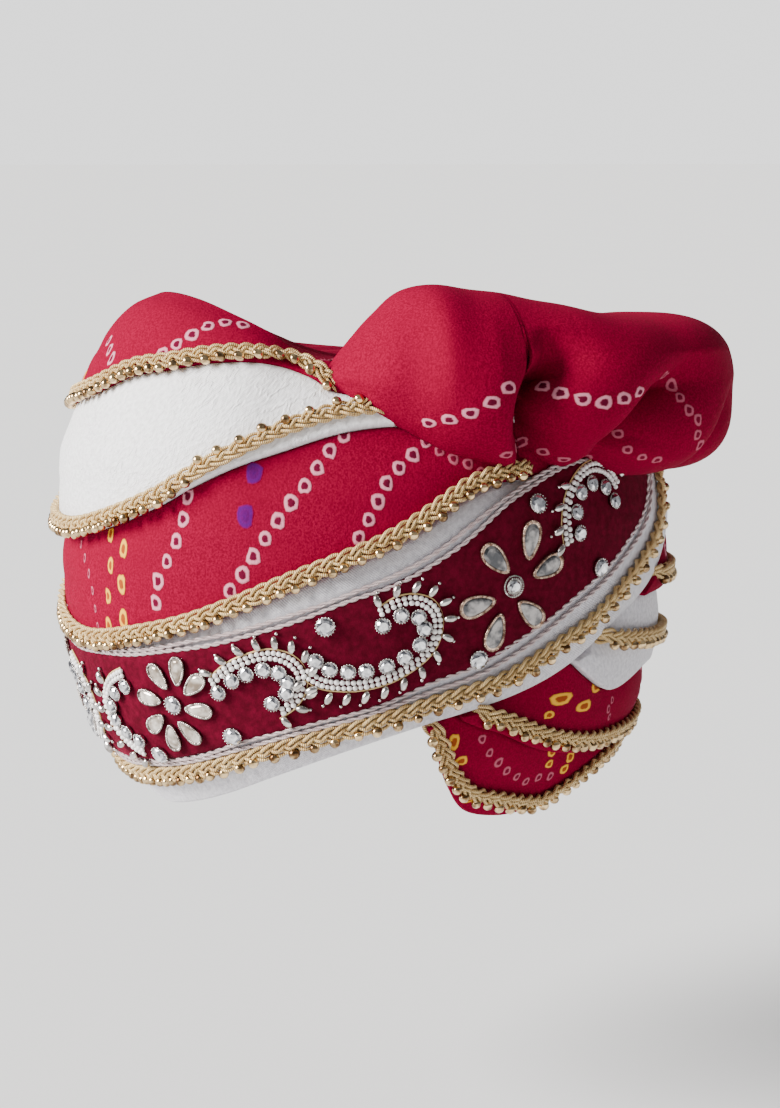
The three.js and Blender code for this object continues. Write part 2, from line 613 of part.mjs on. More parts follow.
// A cut stone with its setting: an outline, the setting's rim, a step in, the crown facets and the table
const raised = (outline, scale, z) => outline.map(([x, y]) => new THREE.Vector3(x * scale, y * scale, z));
function stoneGeometry(outline, height, rimShare, tableShare) {
  const levels = [
    { scale: 1, z: 0 },
    { scale: 1, z: height * 0.55 },
    { scale: rimShare, z: height * 0.6 },
    { scale: tableShare, z: height },
  ];
  return loft(levels.map(({ scale, z }) => raised(outline, scale, z)), "flat");
}
const roundOutline = (diameter, sides) =>
  Array.from({ length: sides }, (_, i) => {
    const a = (2 * Math.PI * (i + 0.5)) / sides;
    return [(diameter / 2) * Math.cos(a), (diameter / 2) * Math.sin(a)];
  });
const petalSides = 10;
// A drop with its point at -x
const petalOutline = (length, width) =>
  Array.from({ length: petalSides }, (_, i) => {
    const a = (2 * Math.PI * i) / petalSides;
    const narrowing = 1 - 0.38 * (1 - Math.cos(a)) * 0.5;
    return [(length / 2) * Math.cos(a), (width / 2) * Math.sin(a) * narrowing * (1 + 0.12 * Math.cos(a))];
  });
const place = (geometry, frame) => geometry.applyMatrix4(frame);
const roundSides = 8;
const petalRim = 0.82;
const tableShare = 0.5;
const petalTableShare = 0.6;
const roundStone = (diameter) =>
  stoneGeometry(roundOutline(diameter, roundSides), stoneHeight, petalRim, tableShare);

const flowers = flowerAt.map(onBorder).map((row) => ({ ...row, reach: row.reach * petalLength }));
flowers.forEach(({ name, along, across, petals, turned, reach, size }) => {
  const seat = borderFrame(along, across, centreStoneDiameter / 2);
  piece(`${name}_centre`, place(roundStone(centreStoneDiameter), seat), "glass");
  const width = borderHeights(degreesAlong(along))[1] - borderHeights(degreesAlong(along))[0];
  for (let i = 0; i < petals; i++) {
    const a = radians(turned + (360 * i) / petals);
    const [dx, dy] = [reach * Math.cos(a), reach * Math.sin(a)];
    const outline = petalOutline(petalLength * size, petalWidth * size);
    const petal = stoneGeometry(outline, petalHeight, petalRim, petalTableShare);
    petal.rotateZ(a);
    const petalReach = (petalLength * size) / 2;
    const slope = borderPoint(along + petalReach, across).z - borderPoint(along - petalReach, across).z;
    const tilt = Math.atan2(slope, 2 * petalReach);
    const [u, v] = [dx * Math.cos(tilt), dy / Math.cos(tilt)];
    const petalSeat = borderFrame(along + u, across + v / width, petalReach);
    piece(`${name}_petal_${i + 1}`, place(petal, petalSeat), "glass");
  }
});
// A single stone stands at least this clear of a flower, moved along the border if it must be
function clearOfFlowers(stone) {
  const width = borderHeights(degreesAlong(stone.along))[1] - borderHeights(degreesAlong(stone.along))[0];
  const near = flowers.find((flower) => Math.abs(flower.along - stone.along) < 2 * petalLength);
  if (!near) return stone;
  const room = near.reach + (petalLength * near.size + loneStoneDiameter) / 2 + seatGap;
  const rise = (stone.across - near.across) * width;
  const aside = Math.sqrt(Math.max(room ** 2 - rise ** 2, 0));
  const side = Math.sign(stone.along - near.along);
  return { ...stone, along: near.along + side * Math.max(aside, Math.abs(stone.along - near.along)) };
}
loneStones.map(onBorder).map(clearOfFlowers).forEach(({ name, along, across }) => {
  const seat = borderFrame(along, across, loneStoneDiameter / 2);
  piece(name, place(roundStone(loneStoneDiameter), seat), "glass");
});

// Vines: a row of stones on a bed of seed beads, fused to one body
function solidOf(geometry) {
  const bare = geometry.clone();
  bare.deleteAttribute("normal");
  bare.deleteAttribute("uv");
  const merged = mergeVertices(bare, 1e-4);
  const mesh = new wasm.Mesh({
    numProp: 3,
    vertProperties: new Float32Array(merged.attributes.position.array),
    triVerts: new Uint32Array(merged.index.array),
  });
  return new wasm.Manifold(mesh);
}
function geometryFrom(solid) {
  const mesh = solid.getMesh();
  const geometry = new THREE.BufferGeometry();
  geometry.setAttribute("position", new THREE.BufferAttribute(new Float32Array(mesh.vertProperties), 3));
  return geometry.setIndex(new THREE.BufferAttribute(new Uint32Array(mesh.triVerts), 1));
}
function vine(rows) {
  const spots = rows.map(({ along, across }) => borderFrame(along, across, vineBedWidth * 0.7));
  const rings = spots.map((frame, i) => {
    const before = new THREE.Vector3().setFromMatrixPosition(spots[Math.max(i - 1, 0)]);
    const after = new THREE.Vector3().setFromMatrixPosition(spots[Math.min(i + 1, spots.length - 1)]);
    const normal = new THREE.Vector3().setFromMatrixColumn(frame, 2);
    const side = after.sub(before).cross(normal).normalize();
    const middle = new THREE.Vector3().setFromMatrixPosition(frame);
    const at = (s, h) => middle.clone().addScaledVector(side, s).addScaledVector(normal, h);
    const half = vineBedWidth / 2;
    const top = seatGap + vineBedHeight;
    return [at(-half, seatGap), at(half, seatGap), at(half, top), at(-half, top)];
  });
  const parts = [solidOf(loft(rings, "flat"))];
  const outline = roundOutline(vineStoneDiameter, roundSides);
  const levels = [
    [1, seatGap + vineBedHeight / 2],
    [1, stoneHeight * 0.65],
    [tableShare, stoneHeight],
  ];
  spots.forEach((frame) => {
    const stone = levels.map(([scale, z]) => raised(outline, scale, z));
    parts.push(solidOf(place(loft(stone, "flat"), frame)));
  });
  return geometryFrom(parts.reduce((sum, part) => sum.add(part)));
}
Object.entries(vineAt).forEach(([name, rows]) => piece(name, vine(rows.map(onBorder)), "silver"));

// The puff, cut to lie on the wraps and the trims under it
function envelope() {
  const floor = -crownHeight / 10;
  const section = (d) => {
    const lines = [browLine, redLine, whiteLine, crownLine].flatMap((line) => line(d, seam * 1.3));
    const top = roofShares.toReversed().map((share) => roof(d, share, seam * 1.5));
    return [...top, ...lines.toReversed(), [headRadius(d) / 2, floor]];
  };
  return solidOf(capOf(section, crownCentreHeight + seam * 1.5, floor));
}
function puff() {
  const stations = puffStations.map((row) => ({
    ...row,
    middle: new THREE.Vector3((row.x * bodyWidth) / 2, (row.y * bodyLength) / 2, row.z * crownHeight),
  }));
  const rings = stations.map((row, i) => {
    const before = stations[Math.max(i - 1, 0)].middle;
    const after = stations[Math.min(i + 1, stations.length - 1)].middle;
    const way = after.clone().sub(before).setZ(0).normalize();
    const outward = new THREE.Vector3(way.y, -way.x, 0);
    return Array.from({ length: puffSides }, (_, j) => {
      const a = (2 * Math.PI * j) / puffSides;
      const [c, s] = [Math.cos(a), Math.sin(a)];
      const depth = puffHalfDepth * (c > 0 ? row.out : row.inn);
      const height = puffHalfHeight * (s > 0 ? row.up : row.down);
      return row.middle.clone().addScaledVector(outward, depth * c).add(new THREE.Vector3(0, 0, height * s));
    });
  });
  let solid = solidOf(loft(rings, "flat")).subtract(envelope());
  ringTrims.forEach((trim) => {
    const room = strip(trimFrom - 1, trimTo[trim.edge] + 1, ringTrim(trim, grownTrimSection));
    solid = solid.subtract(solidOf(room));
  });
  const borderRoom = (d) => {
    const [low, high] = borderHeights(d);
    const away = velvetOut + velvetThickness + stoneHeight + 5 * seatGap;
    const beside = silverCordDiameter + 3 * seatGap;
    const corners = [
      [low - beside, 0],
      [low - beside, away],
      [high + beside, away],
      [high + beside, 0],
    ];
    return corners.map(([z, out]) => wall(d, z, out));
  };
  solid = solid.subtract(solidOf(strip(borderFrom, borderTo + 1, borderRoom)));
  const bodies = solid.decompose().sort((a, b) => b.volume() - a.volume());
  return geometryFrom(bodies[0]);
}
piece("puff", puff(), "red");

export default group;
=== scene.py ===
import math

import bpy
import numpy as np
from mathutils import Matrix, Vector
from mathutils.bvhtree import BVHTree


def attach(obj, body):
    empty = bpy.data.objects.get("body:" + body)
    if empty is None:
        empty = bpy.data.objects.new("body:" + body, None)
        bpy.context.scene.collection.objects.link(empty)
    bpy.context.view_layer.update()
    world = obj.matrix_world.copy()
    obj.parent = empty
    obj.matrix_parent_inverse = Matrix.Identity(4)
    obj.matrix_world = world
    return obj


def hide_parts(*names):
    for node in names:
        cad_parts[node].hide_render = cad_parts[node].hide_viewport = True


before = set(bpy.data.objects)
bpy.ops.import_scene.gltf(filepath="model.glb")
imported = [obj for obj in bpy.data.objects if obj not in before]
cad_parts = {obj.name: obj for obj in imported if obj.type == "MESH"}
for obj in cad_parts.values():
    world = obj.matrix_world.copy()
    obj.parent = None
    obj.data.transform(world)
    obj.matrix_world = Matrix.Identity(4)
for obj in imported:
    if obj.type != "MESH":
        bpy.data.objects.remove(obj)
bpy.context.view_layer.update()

print("frame loaded:", len(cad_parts), "nodes")

# A tied wedding turban. Metres, +Z up. The wearer looks along -Y and the wearer's left is +X.
# Angles go round the head in degrees: 0 is the brow, 90 the wearer's left.
mm = 0.001
luck = np.random.default_rng(7)

turban = {
    "width": 252 * mm,
    "length": 292 * mm,
    "height": 239 * mm,
    "roofMiddle": 203 * mm,
    "wrapWall": 6 * mm,
    "roofWall": 3 * mm,
    "foldProud": 3.4 * mm,
    "crownProud": 0.8 * mm,
    "tierProud": 4.4 * mm,
    "seam": 0.4 * mm,
    "roofPower": 1.8,
}

# height as a share of the turban's, width as a share of half its width
flare = [(-0.1, 0.56), (-0.046, 0.645), (0, 0.71), (0.046, 0.77), (0.15, 0.885), (0.245, 0.94),
         (0.35, 0.973), (0.455, 0.993), (0.56, 1), (1.1, 1)]
# how far below the crest, and the width there
shoulder = [(0, 0.7), (0.017, 0.77), (0.048, 0.828), (0.1, 0.884), (0.16, 0.935), (0.225, 0.97),
            (0.31, 1), (1.3, 1)]

# lower edges of the wraps, as shares of the height
edgeNames = ["degrees", "brow", "red", "white", "crown", "crest"]
edges = [
    (-165, 0.475, 0.63, 0.694, 0.757, 0.83), (-150, 0.42, 0.628, 0.69, 0.756, 0.83),
    (-120, 0.325, 0.6, 0.682, 0.76, 0.838), (-90, 0.242, 0.542, 0.655, 0.757, 0.86),
    (-60, 0.158, 0.458, 0.608, 0.75, 0.904), (-30, 0.05, 0.372, 0.542, 0.742, 0.967),
    (-15, 0.018, 0.343, 0.53, 0.752, 0.992), (0, 0.004, 0.33, 0.535, 0.772, 1),
    (15, 0.022, 0.342, 0.572, 0.822, 0.99), (30, 0.056, 0.378, 0.632, 0.858, 0.962),
    (45, 0.106, 0.425, 0.69, 0.864, 0.93), (60, 0.158, 0.488, 0.738, 0.84, 0.898),
    (75, 0.204, 0.56, 0.752, 0.812, 0.874), (90, 0.242, 0.648, 0.745, 0.795, 0.862),
    (105, 0.305, 0.7, 0.745, 0.788, 0.855), (120, 0.4, 0.705, 0.745, 0.785, 0.848),
    (135, 0.48, 0.705, 0.745, 0.785, 0.845), (150, 0.56, 0.685, 0.733, 0.78, 0.84),
    (165, 0.57, 0.66, 0.714, 0.77, 0.835), (180, 0.53, 0.642, 0.702, 0.762, 0.832),
]
napeNames = ["degrees", "redTop", "white", "redMiddle", "hem", "whiteTrim"]
napeEdges = [
    (75, 0.46, 0.4, 0.24, 0.2, 0.4), (78, 0.46, 0.4, 0.23, 0.145, 0.4), (81, 0.46, 0.4, 0.215, 0.085, 0.39),
    (85, 0.46, 0.39, 0.195, 0.035, 0.38), (90, 0.45, 0.37, 0.178, 0.008, 0.37),
    (99, 0.44, 0.33, 0.14, -0.008, 0.355), (105, 0.43, 0.3, 0.122, -0.01, 0.348),
    (112, 0.415, 0.255, 0.108, -0.008, 0.34), (120, 0.4, 0.222, 0.1, -0.006, 0.328),
    (135, 0.395, 0.245, 0.1, 0.002, 0.312), (150, 0.39, 0.242, 0.105, 0.004, 0.305),
    (180, 0.38, 0.23, 0.11, 0.006, 0.292),
]
# how far the finished cloth settles up or down from those edges, in mm at some degrees
settled = {
    "brow": [(88, 0), (100, -2), (115, -4), (130, -9), (150, -6), (170, 0)],
    "red": [(-25, 0), (0, -1), (16, 0.5), (30, 0.6), (40, 2.5), (50, 4.2), (70, 3.8), (78, 5.4), (82, 5.4),
            (86, 2.9), (90, 0), (94, -3.5), (98, -5.5), (106, -4), (118, 0)],
    "white": [(25, 0), (38, 3.2), (50, 2.6), (60, 1.9), (80, 0)],
    "crown": [(-60, 0), (-30, 3), (-7, 6.5), (9, 7.2), (21, 3.4), (31, 2), (40, 0.6), (47, -2), (52, -4), (57, -7),
              (75, -5), (95, 0)],
    "crest": [(-90, 0), (-45, -1), (-20, -3), (10, -3.3), (29, -4.4), (38.5, -6.6), (46.5, -11), (60, -9),
              (80, -3), (100, 0)],
    "hem": [(110, 0), (123, 8), (135, 14), (150, 17), (180, 18)],
}


# Shape of the wound cloth

def curveThrough(xs, ys, x):  # a smooth line through points, level past its ends
    x = np.asarray(x, float)
    i = np.clip(np.searchsorted(xs, x), 1, len(xs) - 1)
    a, before, after = i - 1, np.maximum(i - 2, 0), np.minimum(i + 1, len(xs) - 1)
    width = xs[i] - xs[a]
    t = np.clip((x - xs[a]) / width, 0, 1)
    m0 = (ys[i] - ys[before]) / (xs[i] - xs[before]) * width
    m1 = (ys[after] - ys[a]) / (xs[after] - xs[a]) * width
    return (ys[a] * (2 * t**3 - 3 * t**2 + 1) + m0 * (t**3 - 2 * t**2 + t)
            + ys[i] * (3 * t**2 - 2 * t**3) + m1 * (t**3 - t**2))


roundEdges = np.array([(r[0] - 360, *r[1:]) for r in edges[-2:]] + edges + [(r[0] + 360, *r[1:]) for r in edges[:2]])
napeTable = np.array(napeEdges)
flareTable = np.array(flare)
shoulderTable = np.array(shoulder)


def turn(degrees):
    return (np.asarray(degrees, float) + 180) % 360 - 180


def rowsAt(rows, degrees):  # a smooth line through rows of degrees and mm
    rows = np.array(rows, float)
    return curveThrough(rows[:, 0], rows[:, 1], degrees) * mm


def plainEdge(name, degrees):
    return turban["height"] * curveThrough(roundEdges[:, 0], roundEdges[:, edgeNames.index(name)], turn(degrees))


def edgeAt(name, degrees):
    return plainEdge(name, degrees) + rowsAt(settled[name], turn(degrees))


def napeAt(name, degrees):
    height = turban["height"] * curveThrough(napeTable[:, 0], napeTable[:, napeNames.index(name)], abs(turn(degrees)))
    return height + (rowsAt(settled[name], abs(turn(degrees))) if name in settled else 0)


def ellipse(degrees):
    a = np.radians(degrees)
    return turban["width"] / 2 * np.sin(a), -turban["length"] / 2 * np.cos(a)


def headRadius(degrees):
    return np.hypot(*ellipse(degrees))


def bodyRadius(degrees, z):
    below = np.maximum(edgeAt("crest", degrees) - z, 0) / turban["height"]
    return (headRadius(degrees) * curveThrough(flareTable[:, 0], flareTable[:, 1], z / turban["height"])
            * curveThrough(shoulderTable[:, 0], shoulderTable[:, 1], below))


def atRadius(degrees, radius, z):
    x, y = ellipse(degrees)
    share = radius / np.hypot(x, y)
    return np.stack(np.broadcast_arrays(x * share, y * share, z), axis=-1)


def wallPoint(degrees, z, out=0.0):
    degrees, z, out = np.broadcast_arrays(np.asarray(degrees, float), np.asarray(z, float), np.asarray(out, float))
    top = edgeAt("crest", degrees)
    low, high = np.minimum(z, top) - mm, np.minimum(z + mm, top)
    run, rise = bodyRadius(degrees, high) - bodyRadius(degrees, low), high - low
    length = np.hypot(run, rise)
    return atRadius(degrees, bodyRadius(degrees, z) + out * rise / length, z - out * run / length)


crestShare = shoulder[0][1]


def roofHeight(degrees, share):
    return turban["roofMiddle"] + (edgeAt("crest", degrees) - turban["roofMiddle"]) * share ** turban["roofPower"]


def roofPoint(degrees, share, out=0.0):
    degrees, share, out = np.broadcast_arrays(*(np.asarray(given, float) for given in (degrees, share, out)))
    crest = edgeAt("crest", degrees)
    wide = curveThrough(flareTable[:, 0], flareTable[:, 1], crest / turban["height"])
    radius = headRadius(degrees) * crestShare * wide * share
    return atRadius(degrees, np.maximum(radius, 1e-6), roofHeight(degrees, share) + out)


fineAngles = np.arange(-1400, 1401) / 7.0
fineArc = np.concatenate([[0], np.cumsum(np.linalg.norm(np.diff(np.stack(ellipse(fineAngles), 1), axis=0), axis=1))])
fineArc -= np.interp(0, fineAngles, fineArc)


def degreesAlong(along):  # from the way gone round the head, from the brow
    return np.interp(along, fineArc, fineAngles)


def arcAt(degrees):
    return np.interp(degrees, fineAngles, fineArc)


# Meshes

def makePiece(name, points, faces, materials, uv=None, faceMaterial=None, smooth=True):
    mesh = bpy.data.meshes.new(name)
    mesh.from_pydata(np.asarray(points, float).reshape(-1, 3).tolist(), [], [list(map(int, f)) for f in faces])
    if uv is not None:
        layer = mesh.uv_layers.new(name="UVMap")
        layer.data.foreach_set("uv", np.asarray(uv, np.float32).ravel())
    for material in materials:
        mesh.materials.append(material)
    if faceMaterial is not None:
        mesh.polygons.foreach_set("material_index", np.asarray(faceMaterial, np.int32))
    mesh.polygons.foreach_set("use_smooth", np.full(len(mesh.polygons), smooth))
    mesh.update()
    piece = bpy.data.objects.new(name, mesh)
    bpy.context.scene.collection.objects.link(piece)
    return piece


def finishPiece(piece, slot, *nodes):
    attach(piece, "root")
    if nodes:
        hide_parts(*nodes)
    return piece


def turnOutward(piece):
    mesh = piece.data
    flat = np.zeros(len(mesh.vertices) * 3)
    mesh.vertices.foreach_get("co", flat)
    co = flat.reshape(-1, 3)
    mesh.calc_loop_triangles()
    tris = np.zeros(len(mesh.loop_triangles) * 3, int)
    mesh.loop_triangles.foreach_get("vertices", tris)
    a, b, c = (co[tris.reshape(-1, 3)[:, k]] for k in range(3))
    if np.einsum("ij,ij->i", a, np.cross(b, c)).sum() < 0:
        mesh.flip_normals()
    return piece


# A closed body from sections, an array of sections by points by 3. us and vs are the pattern's own
# measures, in metres, along the sections and along each section.
def sectionBody(name, sections, materials, closed, us, vs):
    count, around = sections.shape[:2]
    spans = count if closed else count - 1
    i, j = np.meshgrid(np.arange(spans), np.arange(around), indexing="ij")
    i, j = i.ravel(), j.ravel()
    iNext, jNext = (i + 1) % count, (j + 1) % around
    faces = np.stack([i * around + j, iNext * around + j, iNext * around + jNext, i * around + jNext], 1)
    vs = np.broadcast_to(vs, (count, around))
    vNext = np.where(jNext == 0, j, jNext)
    uv = np.stack([np.stack([us[i], vs[i % count, j]], 1), np.stack([us[i + 1], vs[iNext, j]], 1),
                   np.stack([us[i + 1], vs[iNext, vNext]], 1), np.stack([us[i], vs[i % count, vNext]], 1)], 1)
    faces, uv = faces.tolist(), uv.reshape(-1, 2)
    if not closed:
        ends = [list(range(around)), list(range((count - 1) * around, count * around))[::-1]]
        faces += ends
        uv = np.concatenate([uv, np.zeros((2 * around, 2))])
    return turnOutward(makePiece(name, sections, faces, materials, uv))


def tube(centres, sideways, outward, halfWidth, halfDepth, sides):
    a = np.linspace(0, 2 * np.pi, sides, endpoint=False)
    rings = (centres[:, None] + sideways[:, None] * (halfWidth * np.cos(a))[None, :, None]
             + outward[:, None] * (halfDepth * np.sin(a))[None, :, None])
    count = len(centres)
    i, j = np.meshgrid(np.arange(count - 1), np.arange(sides), indexing="ij")
    i, j = i.ravel(), j.ravel()
    jNext = (j + 1) % sides
    faces = np.stack([i * sides + j, i * sides + jNext, (i + 1) * sides + jNext, (i + 1) * sides + j], 1)
    way = np.concatenate([[0], np.cumsum(np.linalg.norm(np.diff(centres, axis=0), axis=1))])
    u = np.stack([way[i], way[i], way[i + 1], way[i + 1]], 1)
    v = np.stack([j, j + 1, j + 1, j], 1) / sides
    ends = [list(range(sides))[::-1], list(range((count - 1) * sides, count * sides))]
    uv = np.concatenate([np.stack([u, v], 2).reshape(-1, 2), np.zeros((2 * sides, 2))])
    return rings.reshape(-1, 3), faces.tolist() + ends, uv


def joinParts(parts):  # each is points, faces, uv
    points, faces, uvs, start = [], [], [], 0
    for part in parts:
        points.append(part[0])
        faces += [[k + start for k in face] for face in part[1]]
        uvs.append(part[2])
        start += len(part[0])
    return np.concatenate(points), faces, np.concatenate(uvs)


# Materials

def startGroup(name, inputs, outputs):
    tree = bpy.data.node_groups.new(name, "ShaderNodeTree")
    for title, kind, value in inputs:
        socket = tree.interface.new_socket(name=title, in_out="INPUT", socket_type=kind)
        if value is not None:
            socket.default_value = value
    for title, kind in outputs:
        tree.interface.new_socket(name=title, in_out="OUTPUT", socket_type=kind)
    return tree, tree.nodes.new("NodeGroupInput"), tree.nodes.new("NodeGroupOutput")


def mathNode(tree, operation, a, b=None):
    node = tree.nodes.new("ShaderNodeMath")
    node.operation = operation
    for k, value in enumerate((a, b)):
        if value is None:
            continue
        if isinstance(value, (int, float)):
            node.inputs[k].default_value = value
        else:
            tree.links.new(value, node.inputs[k])
    return node.outputs[0]


def mixColour(tree, share, a, b):
    node = tree.nodes.new("ShaderNodeMix")
    node.data_type = "RGBA"
    for socket, value in zip((node.inputs[0], node.inputs[6], node.inputs[7]), (share, a, b)):
        if isinstance(value, (int, float, tuple)):
            socket.default_value = value
        else:
            tree.links.new(value, socket)
    return node.outputs[2]


def spread(tree, value, fromLow, fromHigh, toLow=0.0, toHigh=1.0):
    node = tree.nodes.new("ShaderNodeMapRange")
    node.interpolation_type = "SMOOTHSTEP"
    tree.links.new(value, node.inputs["Value"])
    for title, number in zip(("From Min", "From Max", "To Min", "To Max"), (fromLow, fromHigh, toLow, toHigh)):
        node.inputs[title].default_value = number
    return node.outputs[0]


def noiseNode(tree, vector, scale, detail=2.0, rough=0.5):
    node = tree.nodes.new("ShaderNodeTexNoise")
    tree.links.new(vector, node.inputs["Vector"])
    if isinstance(scale, (int, float)):
        node.inputs["Scale"].default_value = scale
    else:
        tree.links.new(scale, node.inputs["Scale"])
    node.inputs["Detail"].default_value = detail
    node.inputs["Roughness"].default_value = rough
    return node.outputs["Fac"]


# crepe: a fine pebbled surface and slow changes of tone
def buildCrepe():
    tree, given, made = startGroup(
        "crepeGrain", [("Vector", "NodeSocketVector", None), ("Grain", "NodeSocketFloat", 900.0)],
        [("Height", "NodeSocketFloat"), ("Tone", "NodeSocketFloat"), ("Drift", "NodeSocketFloat")])
    fine = noiseNode(tree, given.outputs["Vector"], given.outputs["Grain"], 3, 0.6)
    half = mathNode(tree, "MULTIPLY", given.outputs["Grain"], 0.37)
    coarse = noiseNode(tree, given.outputs["Vector"], half, 1)
    height = mathNode(tree, "ADD", mathNode(tree, "MULTIPLY", fine, 0.6), mathNode(tree, "MULTIPLY", coarse, 0.4))
    drift = noiseNode(tree, given.outputs["Vector"], 26.0, 3, 0.55)
    tree.links.new(height, made.inputs["Height"])
    tree.links.new(spread(tree, fine, 0.35, 0.68), made.inputs["Tone"])
    tree.links.new(spread(tree, drift, 0.3, 0.7), made.inputs["Drift"])
    return tree


# threads lying side by side, aslant to the pattern's own measures
def buildThreads():
    tree, given, made = startGroup(
        "threadLay", [("Vector", "NodeSocketVector", None), ("Pitch", "NodeSocketFloat", mm),
                      ("Slant", "NodeSocketFloat", 1.0)], [("Height", "NodeSocketFloat")])
    parts = tree.nodes.new("ShaderNodeSeparateXYZ")
    tree.links.new(given.outputs["Vector"], parts.inputs[0])
    slanted = mathNode(tree, "MULTIPLY", parts.outputs["Y"], given.outputs["Slant"])
    along = mathNode(tree, "DIVIDE", mathNode(tree, "ADD", parts.outputs["X"], slanted), given.outputs["Pitch"])
    wave = mathNode(tree, "SINE", mathNode(tree, "MULTIPLY", along, 2 * math.pi))
    height = mathNode(tree, "ADD", mathNode(tree, "MULTIPLY", wave, 0.5), 0.5)
    tree.links.new(height, made.inputs["Height"])
    return tree


crepeGrain = buildCrepe()
threadLay = buildThreads()


def startMaterial(name, **sockets):
    material = bpy.data.materials.new(name)
    material.use_nodes = True
    tree = material.node_tree
    shader = tree.nodes["Principled BSDF"]
    for title, value in sockets.items():
        shader.inputs[title.replace("_", " ")].default_value = value
    return material, tree, shader


def placeGroup(tree, group, vector, **values):
    node = tree.nodes.new("ShaderNodeGroup")
    node.node_tree = group
    tree.links.new(vector, node.inputs["Vector"])
    for title, value in values.items():
        node.inputs[title].default_value = value
    return node


def addBump(tree, shader, height, distance):
    bump = tree.nodes.new("ShaderNodeBump")
    bump.inputs["Strength"].default_value = 1.0
    bump.inputs["Distance"].default_value = distance
    tree.links.new(height, bump.inputs["Height"])
    tree.links.new(bump.outputs[0], shader.inputs["Normal"])


def coords(tree, kind):
    return tree.nodes.new("ShaderNodeTexCoord").outputs[kind]


redDye = {"deep": (0.14, 0.0006, 0.013, 1), "bright": (0.24, 0.001, 0.027, 1), "worn": (0.18, 0.0008, 0.018, 1)}


def makeRedCloth(name, dyed):  # dyed cloth takes its dots from the colours on the mesh
    material, tree, shader = startMaterial(name, Roughness=0.85, Sheen_Weight=0.015, Sheen_Roughness=0.35,
                                           Sheen_Tint=(1.0, 0.1, 0.25, 1), Specular_IOR_Level=0.03)
    crepe = placeGroup(tree, crepeGrain, coords(tree, "Object"), Grain=1100.0)
    base = mixColour(tree, crepe.outputs["Tone"], redDye["deep"], redDye["bright"])
    tone = mixColour(tree, mathNode(tree, "MULTIPLY", crepe.outputs["Drift"], 0.45), base, redDye["worn"])
    if dyed:
        dye = tree.nodes.new("ShaderNodeAttribute")
        dye.attribute_name = "dye"
        tone = mixColour(tree, dye.outputs["Alpha"], tone, dye.outputs["Color"])
    tree.links.new(tone, shader.inputs["Base Color"])
    addBump(tree, shader, crepe.outputs["Height"], 0.35 * mm)
    return material


# brocade: crinkled silk with fine curling lines; the twill is the same silk with its plain diagonal weave and darker
# shades, which are painted shade
silks = {
    "brocade": {"pitch": 0.8 * mm, "crinkle": 1.0, "curls": 0.3, "weave": 0.1,
                "shades": ((0.70, 0.685, 0.69, 1), (0.89, 0.88, 0.885, 1))},
    "twill": {"pitch": 1.1 * mm, "crinkle": 0.25, "curls": 0.03, "weave": 0.22,
              # the twill's darker shades are painted shade on the low cloth
              "shades": ((0.52, 0.50, 0.54, 1), (0.72, 0.70, 0.74, 1))},
}


def makeWhiteSilk(kind):
    silk = silks[kind]
    material, tree, shader = startMaterial(f"white {kind}", Roughness=0.55, Sheen_Weight=0.2, Sheen_Roughness=0.35,
                                           Specular_IOR_Level=0.4)
    uv = coords(tree, "UV")
    twill = placeGroup(tree, threadLay, uv, Pitch=silk["pitch"], Slant=1.0)
    crinkle = noiseNode(tree, uv, 480.0, 3, 0.62)
    wander = noiseNode(tree, uv, 105.0, 3, 0.55)
    curl = mathNode(tree, "ABSOLUTE", mathNode(tree, "SUBTRACT", wander, 0.5))
    patches = spread(tree, noiseNode(tree, uv, 30.0, 2), 0.42, 0.58, 0.1, 1.0)
    line = mathNode(tree, "MULTIPLY", spread(tree, curl, 0.0, 0.05, 1.0, 0.0), patches)
    height = mathNode(tree, "ADD", mathNode(tree, "MULTIPLY", crinkle, silk["crinkle"]),
                      mathNode(tree, "MULTIPLY", line, silk["curls"]))
    height = mathNode(tree, "ADD", height, mathNode(tree, "MULTIPLY", twill.outputs["Height"], silk["weave"]))
    tone = mixColour(tree, spread(tree, crinkle, 0.3, 0.7), *silk["shades"])
    tree.links.new(mixColour(tree, mathNode(tree, "MULTIPLY", line, 0.25), tone, (0.74, 0.72, 0.73, 1)),
                   shader.inputs["Base Color"])
    tree.links.new(spread(tree, crinkle, 0.3, 0.7, 0.62, 0.45), shader.inputs["Roughness"])
    addBump(tree, shader, height, 0.8 * mm)
    return material


def makeVelvet():
    material, tree, shader = startMaterial("velvet", Roughness=0.9, Sheen_Weight=0.3, Sheen_Roughness=0.25,
                                           Sheen_Tint=(1.0, 0.1, 0.22, 1), Specular_IOR_Level=0.05)
    place = coords(tree, "Object")
    pile = noiseNode(tree, place, 2600.0, 2, 0.6)
    brushed = noiseNode(tree, place, 300.0, 5, 0.65)
    tone = mixColour(tree, spread(tree, brushed, 0.24, 0.8), (0.06, 0.001, 0.007, 1), (0.14, 0.002, 0.019, 1))
    tree.links.new(mixColour(tree, mathNode(tree, "MULTIPLY", pile, 0.5), tone, (0.03, 0.001, 0.004, 1)),
                   shader.inputs["Base Color"])
    height = mathNode(tree, "ADD", mathNode(tree, "MULTIPLY", pile, 0.5), brushed)
    addBump(tree, shader, height, 0.3 * mm)
    return material


def makeMetalThread(name, dark, light, metallic, roughness, pitch, slant):
    material, tree, shader = startMaterial(name, Metallic=metallic, Roughness=roughness)
    threads = placeGroup(tree, threadLay, coords(tree, "UV"), Pitch=pitch, Slant=slant)
    age = spread(tree, noiseNode(tree, coords(tree, "Object"), 140.0, 3), 0.35, 0.7)
    # the threads' tone is painted shade in the grooves between threads and a painted highlight on their crowns
    tone = mixColour(tree, threads.outputs["Height"], dark, light)
    tree.links.new(mixColour(tree, mathNode(tree, "MULTIPLY", age, 0.4), tone, dark), shader.inputs["Base Color"])
    tree.links.new(spread(tree, age, 0, 1, roughness, roughness + 0.18), shader.inputs["Roughness"])
    addBump(tree, shader, threads.outputs["Height"], 0.22 * mm)
    return material


